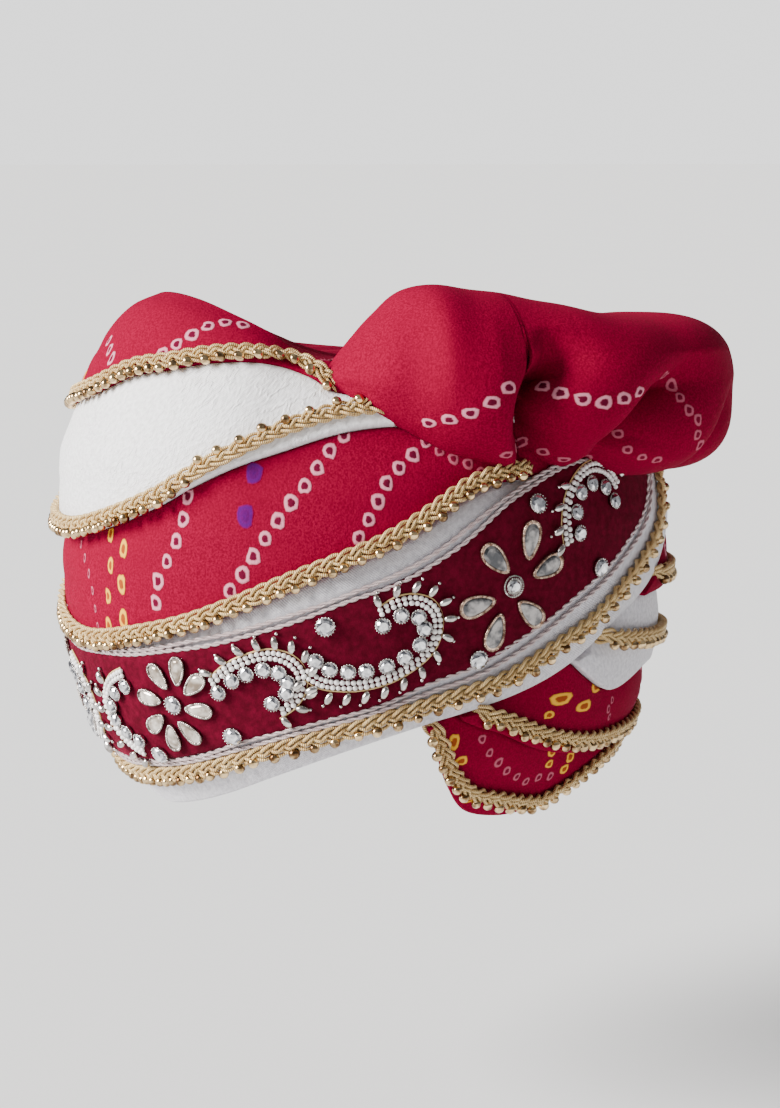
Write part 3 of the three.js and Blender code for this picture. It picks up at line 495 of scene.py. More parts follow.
def makePolished(name, dark, light, metallic, roughness, scale, coat=0.0, bump=0.05 * mm):
    material, tree, shader = startMaterial(name, Metallic=metallic, Roughness=roughness, Coat_Weight=coat,
                                           Coat_Roughness=0.06)
    mottle = noiseNode(tree, coords(tree, "Object"), scale, 3)
    share = spread(tree, mottle, 0.32, 0.68)
    tree.links.new(mixColour(tree, share, dark, light), shader.inputs["Base Color"])
    tree.links.new(spread(tree, mottle, 0.3, 0.7, roughness + 0.1, roughness), shader.inputs["Roughness"])
    addBump(tree, shader, mottle, bump)
    return material


redCloth = makeRedCloth("red crepe", False)
dotCloth = makeRedCloth("tied dots", True)
whiteCloth = makeWhiteSilk("brocade")
whiteTwill = makeWhiteSilk("twill")
velvetPile = makeVelvet()
goldThread = makeMetalThread("gold thread", (0.30, 0.14, 0.03, 1), (1.0, 0.77, 0.38, 1), 0.2, 0.36, 0.9 * mm, 0.0014)
silverThread = makeMetalThread("silver thread", (0.42, 0.28, 0.28, 1), (0.94, 0.86, 0.85, 1), 0.45, 0.34, 0.5 * mm,
                               0.001)
# the dark and light colour, metallic, roughness, how fine the mottle is, and the coat and bump where they differ
goldMetal = makePolished("gold bead", (0.11, 0.05, 0.018, 1), (0.88, 0.64, 0.34, 1), 1.0, 0.13, 230.0)
roseWire = makePolished("rose wire", (0.16, 0.085, 0.055, 1), (0.80, 0.60, 0.46, 1), 1.0, 0.25, 600.0)
agedWire = makePolished("aged silver wire", (0.09, 0.075, 0.065, 1), (0.66, 0.60, 0.55, 1), 1.0, 0.22, 600.0)
silverMetal = makePolished("silver setting", (0.32, 0.29, 0.27, 1), (0.84, 0.81, 0.78, 1), 1.0, 0.16, 260.0)
clearGlass = makePolished("clear cut glass", (0.45, 0.45, 0.47, 1), (0.95, 0.95, 0.97, 1), 0.9, 0.05, 420.0, 1.0,
                          0.02 * mm)
# dark glass for every other facet: painted dark reflections beside the clear facets
paintedDarkFacetGlass = makePolished("glass with painted dark reflections", (0.06, 0.06, 0.07, 1), (0.34, 0.34, 0.37, 1), 0.9, 0.06, 420.0, 1.0,
                         0.02 * mm)
pearlGlass = makePolished("champagne glass", (0.22, 0.16, 0.11, 1), (0.92, 0.85, 0.75, 1), 0.6, 0.1, 170.0, 1.0)
smokeGlass = makePolished("smoky foiled glass", (0.04, 0.042, 0.048, 1), (0.34, 0.32, 0.31, 1), 0.6, 0.08, 230.0, 0.6)
whiteBead = makePolished("white seed bead", (0.66, 0.62, 0.60, 1), (0.92, 0.90, 0.88, 1), 0.0, 0.18, 300.0, 0.6)
print("materials made:", len(bpy.data.materials))


# Wraps: closed bands of wound cloth, with a rolled fold at the lower edge

wraps = {
    "foldRound": 1.7 * mm,
    "seatHeight": 10 * mm,
    "bulge": 1.1 * mm,
    "creaseDepth": 0.38 * mm,
    "rollRows": 5,
    "step": 1.0,  # degrees
}


def softCreases(degrees, z, seed):  # long shallow lines that the winding leaves
    arc = arcAt(turn(degrees))
    total = 0
    for k in range(4):
        length = (0.21, 0.12, 0.085, 0.055)[k]
        tall = (0.034, 0.021, 0.0135, 0.009)[k]
        phase = seed * 2.3 + k * 1.7
        bend = 0.9 * np.sin(2 * np.pi * arc / length + phase)
        total = total + (0.5, 0.3, 0.22, 0.16)[k] * np.sin(2 * np.pi * z / tall + bend + phase)
    return total * wraps["creaseDepth"]


def bandSections(angles, low, high, proud, rows, hold, seed, wallThick):
    angles = np.asarray(angles, float)[:, None]
    low, high = np.asarray(low)[:, None], np.asarray(high)[:, None]
    tall = high - low
    roundness = np.minimum(wraps["foldRound"], tall * 0.3)
    roll = np.linspace(0, np.pi / 2, wraps["rollRows"])[None]
    rollZ = low + roundness * (1 - np.cos(roll))
    rollOut = proud - roundness + roundness * np.sin(roll)
    t = np.linspace(0, 1, rows + 1)[None, 1:]
    z = low + roundness + (tall - roundness) * t
    seat = np.minimum(hold, tall * 0.85)
    fall = np.clip((z - low - seat) / np.maximum(tall - seat, 1e-5), 0, 1)
    fade = np.sin(np.pi * np.clip(fall, 0, 1)) ** 0.7
    out = proud * (1 - fall) + wraps["bulge"] * np.sin(np.pi * fall) * np.minimum(tall / 0.04, 1)
    out = out + softCreases(angles, z, seed) * fade
    inner = np.linspace(1, 0, 4)[None]
    innerZ = low + tall * inner
    allZ = np.concatenate([rollZ, z, np.broadcast_to(innerZ, (len(angles), 4))], 1)
    allOut = np.concatenate([rollOut, out, np.full((len(angles), 4), -wallThick)], 1)
    points = wallPoint(angles, allZ, allOut)
    return points, allZ - low


def ringAngles():
    return np.arange(-180, 180, wraps["step"])


def girthAlong(angles):
    us = arcAt(angles)
    return np.append(us, us[-1] + (us[1] - us[0]))


def sheetOf(piece):  # only works out its triangles
    piece.data.calc_loop_triangles()


def makeRingWrap(name, node, lowName, highName, material, slot, rows, hold, seed):
    angles = ringAngles()
    low, high = edgeAt(lowName, angles), edgeAt(highName, angles) - turban["seam"]
    points, vs = bandSections(angles, low, high, turban["foldProud"], rows, hold, seed, turban["wrapWall"])
    piece = sectionBody(name, points, [material], True, girthAlong(angles), vs)
    finishPiece(piece, slot, node)
    return piece


wholeGirth = 2 * arcAt(180)
whiteBand = makeRingWrap("white_cloth", "white_wrap", "white", "crown", whiteCloth, "white_brocade", 26,
                         wraps["seatHeight"], 1)
redBand = makeRingWrap("red_cloth", "red_wrap", "red", "white", redCloth, "red_cloth", 34, wraps["seatHeight"], 2)
print("ring wraps made")


def makeBrowWrap():
    angles = ringAngles()
    low, high = edgeAt("brow", angles), edgeAt("red", angles) - turban["seam"]
    tall = (high - low)[:, None]
    points, vs = bandSections(angles, low, high, turban["foldProud"], 30, tall - 4 * mm, 3, turban["wrapWall"])
    piece = sectionBody("brow_cloth", points, [whiteTwill], True, girthAlong(angles), vs)
    return finishPiece(piece, "white_brocade", "brow_wrap")


browBand = makeBrowWrap()


# Crown: the cloth that closes the top, with long folds laid over the roof

crown = {"wallRows": 26, "roofRows": 26, "foldDepth": 1.3 * mm, "foldPitch": 19 * mm, "foldTurn": 35}


def makeCrown():
    angles = ringAngles()
    count = len(angles)
    a = angles[:, None]
    low, crest = edgeAt("crown", a), edgeAt("crest", a)
    roundness = 1.2 * mm
    roll = np.linspace(0, np.pi / 2, wraps["rollRows"])[None]
    rollZ = low + roundness * (1 - np.cos(roll))
    rollOut = turban["crownProud"] - roundness + roundness * np.sin(roll)
    t = np.linspace(0, 1, crown["wallRows"] + 1)[None, 1:]
    z = low + roundness + (crest - low - roundness) * (1 - (1 - t) ** 1.35)
    share = (z - low) / (crest - low)
    out = turban["crownProud"] * (1 - share) + 0.5 * mm * np.sin(np.pi * share)
    out = out + softCreases(a, z, 5) * np.sin(np.pi * np.clip(share, 0, 1)) * 0.8
    rollOut = np.broadcast_to(rollOut, rollZ.shape)
    walls = wallPoint(a, np.concatenate([rollZ, z], 1), np.concatenate([rollOut, out], 1))
    shares = np.linspace(1, 0, crown["roofRows"] + 1)[None, 1:-1]
    roof = roofPoint(a, shares)
    way = math.radians(crown["foldTurn"])
    across = roof[..., 0] * math.cos(way) + roof[..., 1] * math.sin(way)
    lie = (across / crown["foldPitch"]) % 1.0
    folds = crown["foldDepth"] * (np.minimum(lie / 0.85, (1 - lie) / 0.15) - 0.5)
    roof[..., 2] += folds * np.clip((1 - shares) / 0.15, 0, 1) * np.clip(shares / 0.1, 0, 1)
    insideShares = np.concatenate([np.linspace(0, 1, 6)[1:-1], [0.96]])[None]
    under = roofPoint(a, insideShares, -turban["roofWall"])
    wallInside = wallPoint(a, np.concatenate([(low + crest) / 2, low], 1),
                           np.array([[-(turban["wrapWall"] + turban["roofWall"]) / 2, -turban["wrapWall"]]]))
    rows = np.concatenate([walls, roof, under, wallInside], 1)
    outer = walls.shape[1] + roof.shape[1]
    around = rows.shape[1]
    points = rows.reshape(-1, 3)
    top, bottom = len(points), len(points) + 1
    points = np.concatenate([points, [[0, 0, turban["roofMiddle"]], [0, 0, turban["roofMiddle"] - turban["roofWall"]]]])
    faces, uv = [], []
    us = girthAlong(angles)
    lengths = np.concatenate([np.zeros((count, 1)), np.cumsum(np.linalg.norm(np.diff(rows, axis=1), axis=2), 1)], 1)
    for i in range(count):
        n = (i + 1) % count
        for j in range(around):
            if j == outer - 1:
                faces.append([i * around + j, n * around + j, top])
                uv += [(us[i], lengths[i, j]), (us[i + 1], lengths[n, j]), (us[i], lengths[i, j] + 0.004)]
                faces.append([bottom, n * around + j + 1, i * around + j + 1])
                uv += [(us[i], 0), (us[i + 1], lengths[n, j + 1]), (us[i], lengths[i, j + 1])]
                continue
            k = (j + 1) % around
            faces.append([i * around + j, n * around + j, n * around + k, i * around + k])
            kv = j if k == 0 else k
            uv += [(us[i], lengths[i, j]), (us[i + 1], lengths[n, j]),
                   (us[i + 1], lengths[n, kv]), (us[i], lengths[i, kv])]
    piece = turnOutward(makePiece("crown_cloth", points, faces, [redCloth], uv))
    return finishPiece(piece, "red_cloth", "crown_wrap")


crownCap = makeCrown()
print("crown made")


# Tiers at the nape

tiers = {
    "nape_red_top": {"low": "redTop", "above": [], "material": redCloth, "slot": "red_cloth", "seed": 6},
    "nape_white": {"low": "white", "above": ["redTop"], "material": whiteTwill, "slot": "white_brocade", "seed": 7},
    "nape_red_middle": {"low": "redMiddle", "above": ["redTop", "white"], "material": redCloth,
                        "slot": "red_cloth", "seed": 8},
    "nape_red_hem": {"low": "hem", "above": ["redTop", "white", "redMiddle"], "material": redCloth,
                     "slot": "red_cloth", "seed": 9},
}
leastTier = 1.6 * mm


def tierHeights(tier, degrees):
    tops = [edgeAt("brow", degrees)] + [napeAt(name, degrees) for name in tier["above"]]
    return napeAt(tier["low"], degrees), np.minimum.reduce(tops) - turban["seam"]


def tierAngles(tier, step):
    fine = np.arange(72, 288.01, 0.25)
    low, high = tierHeights(tier, fine)
    shown = fine[(high - low) > leastTier]
    return np.linspace(shown[0], shown[-1], int((shown[-1] - shown[0]) / step) + 1)


tierPieces = {}
for tierName, tier in tiers.items():
    tierTurns = tierAngles(tier, 1.1)
    tierLow, tierHigh = tierHeights(tier, tierTurns)
    tierPoints, tierVs = bandSections(tierTurns, tierLow, tierHigh, turban["tierProud"], 16, wraps["seatHeight"],
                                      tier["seed"], turban["wrapWall"])
    tierPiece = sectionBody(tierName.replace("nape", "tier"), tierPoints, [tier["material"]], False,
                            np.radians(tierTurns) * turban["length"] / 2, tierVs)
    tierPieces[tierName] = finishPiece(tierPiece, tier["slot"], tierName)
print("tiers made")


# Puff: gathered cloth over the left shoulder and round to the back

puff = {"halfHeight": 42 * mm, "halfDepth": 50 * mm, "clear": 1.2 * mm, "steps": 230, "outerPoints": 110,
        "underPoints": 10}
# middle as shares of half the width, half the length and the height; up, down, out and inn are its half sizes
puffStations = np.array([
    (0.63, -0.45, 0.835, 0.1, 0.1, 0.12, 0.12), (0.65, -0.37, 0.838, 0.38, 0.33, 0.46, 0.5),
    (0.675, -0.28, 0.838, 0.7, 0.58, 0.72, 0.75), (0.7, -0.17, 0.83, 1.0, 0.81, 0.97, 0.95),
    (0.74, -0.02, 0.815, 1.06, 0.92, 1.02, 1), (0.78, 0.13, 0.807, 1.0, 0.94, 0.98, 1),
    (0.78, 0.3, 0.8, 0.93, 0.97, 1.04, 1), (0.74, 0.48, 0.792, 0.88, 0.93, 0.99, 1),
    (0.64, 0.66, 0.79, 0.85, 0.9, 0.98, 0.95), (0.44, 0.8, 0.79, 0.82, 0.88, 0.86, 0.85),
    (0.22, 0.86, 0.79, 0.76, 0.8, 0.8, 0.7), (0.06, 0.86, 0.795, 0.5, 0.5, 0.5, 0.45),
    (-0.02, 0.84, 0.8, 0.12, 0.12, 0.12, 0.12),
])
# where the cloth is gathered in: the station, how far its top leans back and its middle bows forward, its
# depth, how steep it falls in front of it and how slowly it rises behind it, how high up it starts and what
# share of its depth is left at the foot
gathers = [
    {"station": 5.0, "lean": 0.0, "bow": 0.42, "depth": 0.72, "steep": 0.1, "slow": 0.32, "starts": 0.44,
     "foot": 0.35},
    {"station": 6.75, "lean": 0.95, "bow": 0.1, "depth": 0.44, "steep": 0.3, "slow": 0.55, "starts": 0.3,
     "foot": 0.6},
    {"station": 8.15, "lean": 0.6, "bow": 0, "depth": 0.16, "steep": 0.12, "slow": 0.25, "starts": -0.1,
     "foot": 1},
    {"station": 9.15, "lean": 0.2, "bow": 0, "depth": 0.2, "steep": 0.14, "slow": 0.4, "starts": 0.7,
     "foot": 1},
    {"station": 10.25, "lean": -0.2, "bow": 0, "depth": 0.16, "steep": 0.14, "slow": 0.35, "starts": 0.6,
     "foot": 1},
]


def insideBody(points):  # how far a point is outside the wound cloth, below nought inside it
    x, y, z = points[..., 0], points[..., 1], points[..., 2]
    degrees = np.degrees(np.arctan2(x / turban["width"], -y / turban["length"]))
    radius = np.hypot(x, y)
    crest = edgeAt("crest", degrees)
    beside = radius - bodyRadius(degrees, np.minimum(z, crest))
    wide = curveThrough(flareTable[:, 0], flareTable[:, 1], crest / turban["height"])
    share = np.clip(radius / (headRadius(degrees) * crestShare * wide), 0, 1)
    return np.maximum(beside, z - roofHeight(degrees, share))


def puffSections():
    count = len(puffStations)
    stations = np.arange(count)
    s = np.linspace(0.0, count - 1.0, puff["steps"])
    rows = np.stack([curveThrough(stations, puffStations[:, k], s) for k in range(7)], 1)
    middle = rows[:, :3] * np.array([turban["width"] / 2, turban["length"] / 2, turban["height"]])
    way = np.gradient(middle, axis=0)
    way[:, 2] = 0
    way /= np.linalg.norm(way, axis=1)[:, None]
    outward = np.stack([way[:, 1], -way[:, 0], np.zeros(len(s))], 1)
    up = np.array([0, 0, 1.0])

    def surface(i, angle):
        c, n = np.cos(angle), np.sin(angle)
        boxy = 1 - 0.3 * np.clip((s[i] - 5.5) / 2, 0, 1) * np.clip((10.5 - s[i]) / 2, 0, 1)
        c, n = np.sign(c) * np.abs(c) ** boxy, np.sign(n) * np.abs(n) ** boxy
        depth = puff["halfDepth"] * np.where(c > 0, rows[i, 5], rows[i, 6])
        height = puff["halfHeight"] * np.where(n > 0, rows[i, 3], rows[i, 4])
        pull = np.zeros_like(angle)
        for gather in gathers:
            bow = gather["bow"] * np.clip(1 - ((n + 0.25) / 0.75) ** 2, 0, 1)
            past = s[i] - gather["station"] - gather["lean"] * n + bow
            reach = np.where(past < 0, gather["steep"], gather["slow"])
            shown = np.clip((gather["starts"] + 0.28 - n) / 0.4, 0, 1)
            shown = shown * np.clip((n + 0.98) / 0.4, gather["foot"], 1)
            pull = pull + gather["depth"] * shown * np.exp(-(np.abs(past) / reach) ** 1.25)
        tip = np.exp(-(s[i] / 1.8) ** 2)
        pleats = 0.04 * tip * np.sin(7 * angle + 0.8 * s[i])
        soft = 0.012 * np.sin(2.1 * s[i] + 2 * angle) + 0.006 * np.sin(5.3 * s[i] - 3 * angle)
        size = 1 - np.minimum(pull, 0.76) + pleats + soft
        return (middle[i] + outward[i] * (depth * c * size)[:, None] + up * (height * n * size)[:, None])

    sections = []
    turnFine = np.linspace(-np.pi, np.pi, 361)
    for i in range(len(s)):
        clear = insideBody(surface(i, turnFine)) > puff["clear"]
        if clear.all():
            first, last = -np.pi * 0.6, np.pi * 0.9
        else:
            zero = 180 + int(np.argmax(clear[180:])) if not clear[180] else 180
            first = zero
            while first > 0 and clear[first - 1]:
                first -= 1
            last = zero
            while last < 360 and clear[last + 1]:
                last += 1
            first, last = turnFine[first], turnFine[last]
        outer = surface(i, np.linspace(first, last, puff["outerPoints"]))
        chord = np.linspace(0, 1, puff["underPoints"] + 2)[1:-1, None]
        under = outer[-1] * (1 - chord) + outer[0] * chord
        across = outer[0] - outer[-1]
        push = np.cross(across, way[i])
        push /= max(np.linalg.norm(push), 1e-9)
        if push @ outward[i] < 0:
            push = -push
        for _ in range(24):
            gap = insideBody(under) - puff["clear"] * 0.4
            under = under + push * np.clip(-gap, -0.6 * mm, 4 * mm)[:, None] * 0.8
        sections.append(np.concatenate([outer, under]))
    return np.array(sections), s


def makePuff():
    sections, s = puffSections()
    us = np.linspace(0, 0.42, len(s))
    lengths = np.concatenate([np.zeros((len(s), 1)),
                              np.cumsum(np.linalg.norm(np.diff(sections, axis=1), axis=2), 1)], 1)
    piece = sectionBody("puff_cloth", sections, [redCloth], False, us, lengths)
    return finishPiece(piece, "red_cloth", "puff")


puffPiece = makePuff()
print("puff made")


# Trims: a flat plait of three gold cords with beads sewn along it

trims = {
    "width": 8.4 * mm,
    "thickness": 4 * mm,
    "beadSize": 4.8 * mm,
    "gap": 0.2 * mm,
    "period": 20 * mm,
    "stepsInPeriod": 15,
    "strands": 3,
    "cordsInStrand": 2,
    "sides": 6,
    "tuck": 9 * mm,
}


def pathOnWall(first, last, heightOf, out, step):
    fine = np.linspace(first, last, 1600)
    points = wallPoint(fine, heightOf(fine), out)
    way = np.concatenate([[0], np.cumsum(np.linalg.norm(np.diff(points, axis=0), axis=1))])
    count = max(int(way[-1] / step), 2)
    degrees = np.interp(np.linspace(0, way[-1], count + 1), way, fine)
    z = heightOf(degrees)
    at = wallPoint(degrees, z, out)
    normal = wallPoint(degrees, z, out + mm) - at
    normal /= np.linalg.norm(normal, axis=1)[:, None]
    tangent = np.gradient(at, axis=0)
    tangent /= np.linalg.norm(tangent, axis=1)[:, None]
    up = np.cross(tangent, normal)
    up *= np.sign(up[:, 2:3])
    return {"degrees": degrees, "at": at, "normal": normal, "tangent": tangent, "up": up,
            "way": np.linspace(0, way[-1], count + 1)}


def tuckedEnds(path, depth):  # the braid dives into the cloth at both of its ends
    toEnd = np.minimum(path["way"], path["way"][-1] - path["way"])
    dive = np.clip(1 - toEnd / trims["tuck"], 0, 1) ** 2 * depth
    path["at"] = path["at"] - path["normal"] * dive[:, None]
    return path


def plaitParts(path):
    parts = []
    loose = 1 + 0.07 * np.sin(path["way"] / (31 * mm)) + 0.05 * np.sin(path["way"] / (13 * mm) + 1)
    strandHalf = trims["width"] * 0.225
    swing = (trims["width"] / 2 - strandHalf) * loose
    for strand in range(trims["strands"]):
        phase = 2 * np.pi * (path["way"] / trims["period"] + strand / trims["strands"])
        side = swing * np.sin(phase)
        lift = trims["thickness"] * (0.5 + 0.32 * np.sin(2 * phase))
        slope = swing * 2 * np.pi / trims["period"] * np.cos(phase)
        run = np.hypot(1, slope)
        for cord in range(trims["cordsInStrand"]):
            place = (cord - (trims["cordsInStrand"] - 1) / 2) / ((trims["cordsInStrand"] - 1) / 2)
            shift = place * strandHalf * 0.56
            centres = (path["at"] + path["up"] * (side + shift / run)[:, None]
                       + path["normal"] * (lift + trims["gap"])[:, None]
                       - path["tangent"] * (shift * slope / run)[:, None])
            parts.append(tube(centres, path["up"], path["normal"], strandHalf * 0.48, trims["thickness"] * 0.24,
                              trims["sides"]))
    return parts


def roundMaster(name, size, segments, rings, scale=(1, 1, 1)):
    bpy.ops.object.select_all(action="DESELECT")
    bpy.ops.mesh.primitive_uv_sphere_add(segments=segments, ring_count=rings, radius=size / 2)
    bpy.context.object.name = name
    bpy.ops.object.mode_set(mode="EDIT")
    bpy.ops.mesh.select_all(action="SELECT")
    bpy.ops.transform.resize(value=scale)
    bpy.ops.object.mode_set(mode="OBJECT")
    return takeMaster()


def takeMaster():  # the finished master as points, faces and the material number of each face
    master = bpy.context.object
    mesh = master.data
    points = np.array([v.co for v in mesh.vertices])
    faces = [list(p.vertices) for p in mesh.polygons]
    numbers = [p.material_index for p in mesh.polygons]
    bpy.data.objects.remove(master)
    return {"points": points, "faces": faces, "numbers": numbers}


def copiesOf(master, matrices):  # the master at each place, as one list of points and one of faces
    homogeneous = np.concatenate([master["points"], np.ones((len(master["points"]), 1))], 1)
    matrices = np.asarray(matrices, float).reshape(-1, 4, 4)
    points = np.einsum("nij,pj->npi", matrices, homogeneous)[..., :3].reshape(-1, 3)
    size = len(master["points"])
    faces = [[k + n * size for k in face] for n in range(len(matrices)) for face in master["faces"]]
    return points, faces, master["numbers"] * len(matrices)


def framesAt(at, x, y, z, scale=None):
    matrices = np.zeros((len(at), 4, 4))
    scale = np.ones(len(at)) if scale is None else np.asarray(scale)
    matrices[:, :3, 0], matrices[:, :3, 1], matrices[:, :3, 2] = (v * scale[:, None] for v in (x, y, z))
    matrices[:, :3, 3] = at
    matrices[:, 3, 3] = 1
    return matrices


goldBeadMaster = roundMaster("gold_bead", trims["beadSize"], 10, 7)


def beadSpots(path, near, far):  # dense at the brow, wider apart towards the side
    spots, at = [], near
    while at < path["way"][-1] - near * 0.5:
        spots.append(at)
        away = abs(turn(np.interp(at, path["way"], path["degrees"])))
        at += np.interp(away, [12, 42], [near, far]) * (1 + luck.normal(0, 0.06))
    return np.clip(np.searchsorted(path["way"], spots), 0, len(path["way"]) - 1)


def makeTrim(name, node, path, near, far, beadSide):
    points, faces, uv = joinParts(plaitParts(path))
    plaitFaces = len(faces)
    i = beadSpots(path, near, far)
    side = np.array([beadSide(d) for d in path["degrees"][i]])
    offset = side * (trims["width"] / 2 - 0.7 * mm) + luck.normal(0, 0.3 * mm, len(i))
    centres = path["at"][i] + path["up"][i] * offset[:, None] + path["normal"][i] * (trims["beadSize"] * 0.68)
    size = 1 + luck.normal(0, 0.04, len(i))
    beadPoints, beadFaces, _ = copiesOf(goldBeadMaster, framesAt(centres, path["tangent"][i], path["normal"][i],
                                                                 path["up"][i], size))
    start = len(points)
    faces += [[k + start for k in face] for face in beadFaces]
    loops = sum(len(face) for face in beadFaces)
    uv = np.concatenate([uv, np.zeros((loops, 2))])
    numbers = [0] * plaitFaces + [1] * len(beadFaces)
    piece = makePiece(name, np.concatenate([points, beadPoints]), faces, [goldThread, goldMetal], uv, numbers)
    return finishPiece(piece, "gold_braid", node)


def below(degrees):
    return -1


def besideWhite(degrees):  # on the white fold the beads change to the upper side left of the brow
    return 1 if degrees > 34 else -1


def overFold(name):
    return lambda d: edgeAt(name, d) + (2.8 * mm if name == "crown" else 4.2 * mm)


whiteTrimRise = [(-11, 4), (15, 4.2), (30, 4.2), (39, 5.6), (48, 7.6), (60, 7.6), (74, 6), (81, 5)]
browTrimRise = [(-135, 13), (-30, 15.5), (5, 17.7), (16, 16.6), (28, 15.8), (38, 15), (47, 13.6), (56, 11.7),
                (66, 10.2), (78, 10.6), (90, 11), (101, 13.5), (113, 11.7), (125, 12), (131, 15), (136, 23), (140, 33)]
ringTrims = [
    {"name": "braid_crown", "node": "trim_crown", "height": overFold("crown"), "seat": turban["crownProud"],
     "to": 58, "near": 5.2 * mm, "far": 9.2 * mm, "side": below},
    {"name": "braid_white", "node": "trim_white", "height": lambda d: edgeAt("white", d) + rowsAt(whiteTrimRise, d),
     "seat": turban["foldProud"], "to": 81, "near": 5.2 * mm, "far": 11 * mm, "side": besideWhite},
    {"name": "braid_red", "node": "trim_red", "height": overFold("red"), "seat": turban["foldProud"],
     "to": 96, "near": 5.2 * mm, "far": 7.8 * mm, "side": below},
    {"name": "braid_brow", "node": "trim_brow", "height": lambda d: plainEdge("brow", d) + rowsAt(browTrimRise, d),
     "seat": turban["foldProud"], "to": 139.5, "near": 5.4 * mm, "far": 9.5 * mm, "side": below},
]
plaitStep = trims["period"] / trims["stepsInPeriod"]
for trim in ringTrims:
    trimRoute = tuckedEnds(pathOnWall(-189, trim["to"], trim["height"], trim["seat"], plaitStep), 5 * mm)
    makeTrim(trim["name"], trim["node"], trimRoute, trim["near"], trim["far"], trim["side"])

napeTrimRise = {"redTop": [(90, 9), (180, 9)], "redMiddle": [(85, 7.4), (110, 8.6), (180, 8)],
                "hem": [(75, 5), (80, 7), (84, 10.5), (96, 11), (112, 6), (130, 5.6), (180, 5.6)]}
for tierName, tier in tiers.items():
    def tierTrimHeight(d):
        if tier["low"] == "white":
            return napeAt("whiteTrim", d)
        return napeAt(tier["low"], d) + rowsAt(napeTrimRise[tier["low"]], abs(turn(d)))
    tierTurns = tierAngles(tier, 0.5)
    tierLow, tierHigh = tierHeights(tier, tierTurns)
    middleHeight = tierTrimHeight(tierTurns)
    trimShows = tierTurns[(middleHeight - 1.5 * mm < tierHigh) & (middleHeight - 4.6 * mm > tierLow)]
    trimRoute = tuckedEnds(pathOnWall(trimShows[0], trimShows[-1], tierTrimHeight, turban["tierProud"], plaitStep),
                           6.5 * mm)
    makeTrim(tierName.replace("nape", "braid_nape"), tierName.replace("nape", "trim_nape"), trimRoute, 6.4 * mm,
             7.6 * mm, below)
print("trims made")


# Border: velvet between two twisted silver cords

border = {"foot": 18.5 * mm, "head": 8.5 * mm, "from": -135, "to": 133, "velvet": 1.5 * mm,
          "out": turban["foldProud"] + 0.4 * mm, "cord": 1.35 * mm, "twist": 10 * mm}
velvetFace = border["out"] + border["velvet"]
velvetLow = [(-135, 34), (-131, 26), (-125, 21.5), (-40, 21.5), (-10, 23.5), (5, 24.5), (16, 23.3), (28, 22.6),
             (38, 22), (47, 20.6),
             (56, 18.6), (66, 17.6), (76, 19.8), (84, 21), (90, 24), (98, 27.5), (105, 29.8), (116, 28.9),
             (124, 31), (129, 35.5), (133, 44)]
velvetHigh = [(-135, -21), (-131, -13), (-125, -8.9), (-60, -8.9), (-40, -7), (-10, -5), (4, -4.2), (16, -4.8),
              (30, -6.8),
              (40, -8.3), (50, -9.6),
              (60, -10.6), (70, -12), (82, -10.5), (92, -8.6), (100, -7.6), (112, -8.9)]


def borderHeights(degrees):  # the band that carries the ornaments
    return (plainEdge("brow", degrees) + border["foot"],
            plainEdge("red", degrees) - turban["seam"] - border["head"])


def velvetHeights(degrees):
    low = plainEdge("brow", degrees) + rowsAt(velvetLow, degrees)
    return low, plainEdge("red", degrees) + rowsAt(velvetHigh, degrees)


def makeVelvetBorder():
    angles = np.linspace(border["from"], border["to"], 330)
    low, high = (h[:, None] for h in velvetHeights(angles))
    a = angles[:, None]
    share = np.concatenate([[0, 0.004, 0.015], np.linspace(0.04, 0.96, 22), [0.985, 0.996, 1]])[None]
    rounding = np.sqrt(np.clip(1 - (1 - np.minimum(np.minimum(share, 1 - share) / 0.03, 1)) ** 2, 0, 1))
    soft = 0.18 * mm * np.sin(arcAt(a) / (11 * mm) + 5 * share) * np.sin(np.pi * share)
    face = wallPoint(a, low + (high - low) * share, border["out"] + border["velvet"] * rounding + soft)
    back = wallPoint(a, low + (high - low) * np.array([[1, 0.66, 0.33, 0]]), border["out"] - 0.1 * mm)
    sections = np.concatenate([face, back], 1)
    vs = np.concatenate([(high - low) * share, (high - low) * np.array([[1, 0.66, 0.33, 0]])], 1)
    piece = sectionBody("border_velvet", sections, [velvetPile], False, arcAt(angles), vs)
    return finishPiece(piece, "velvet", "velvet_border")


velvetPiece = makeVelvetBorder()


def makeSilverCord(name, node, heightOf, parting):  # two loosely laid cords of two strands each
    path = pathOnWall(border["from"], border["to"], heightOf, border["out"] + border["cord"] * 0.75,
                      border["twist"] / 11)
    parts = []
    radius = border["cord"] * 0.46
    for rope in (-1, 1):
        wander = 0.3 * mm * np.sin(path["way"] / (17 * mm) + rope) + 0.2 * mm * np.sin(path["way"] / (7 * mm) - rope)
        apart = rope * (radius * 1.75 + rowsAt(parting, path["degrees"])) + wander
        for strand in range(2):
            phase = 2 * np.pi * (path["way"] / border["twist"] + strand / 2 + 0.2 * rope)
            centres = (path["at"] + path["up"] * (apart + radius * 0.85 * np.cos(phase))[:, None]
                       + path["normal"] * (radius * 0.85 * np.sin(phase))[:, None])
            parts.append(tube(centres, path["up"], path["normal"], radius, radius, 6))
    points, faces, uv = joinParts(parts)
    return finishPiece(makePiece(name, points, faces, [silverThread], uv), "silver_cord", node)


makeSilverCord("cord_low", "silver_cord_low", lambda d: velvetHeights(d)[0] - 1.4 * mm,
               [(20, 0), (60, 0.3), (85, 1.1), (110, 1.5)])
makeSilverCord("cord_high", "silver_cord_high", lambda d: velvetHeights(d)[1] + 1.4 * mm,
               [(20, 0), (50, 0.5), (75, 0.7), (100, 0)])
print("border made")


# Ornaments of the border. Places are metres along the head from the brow and shares of the border's width

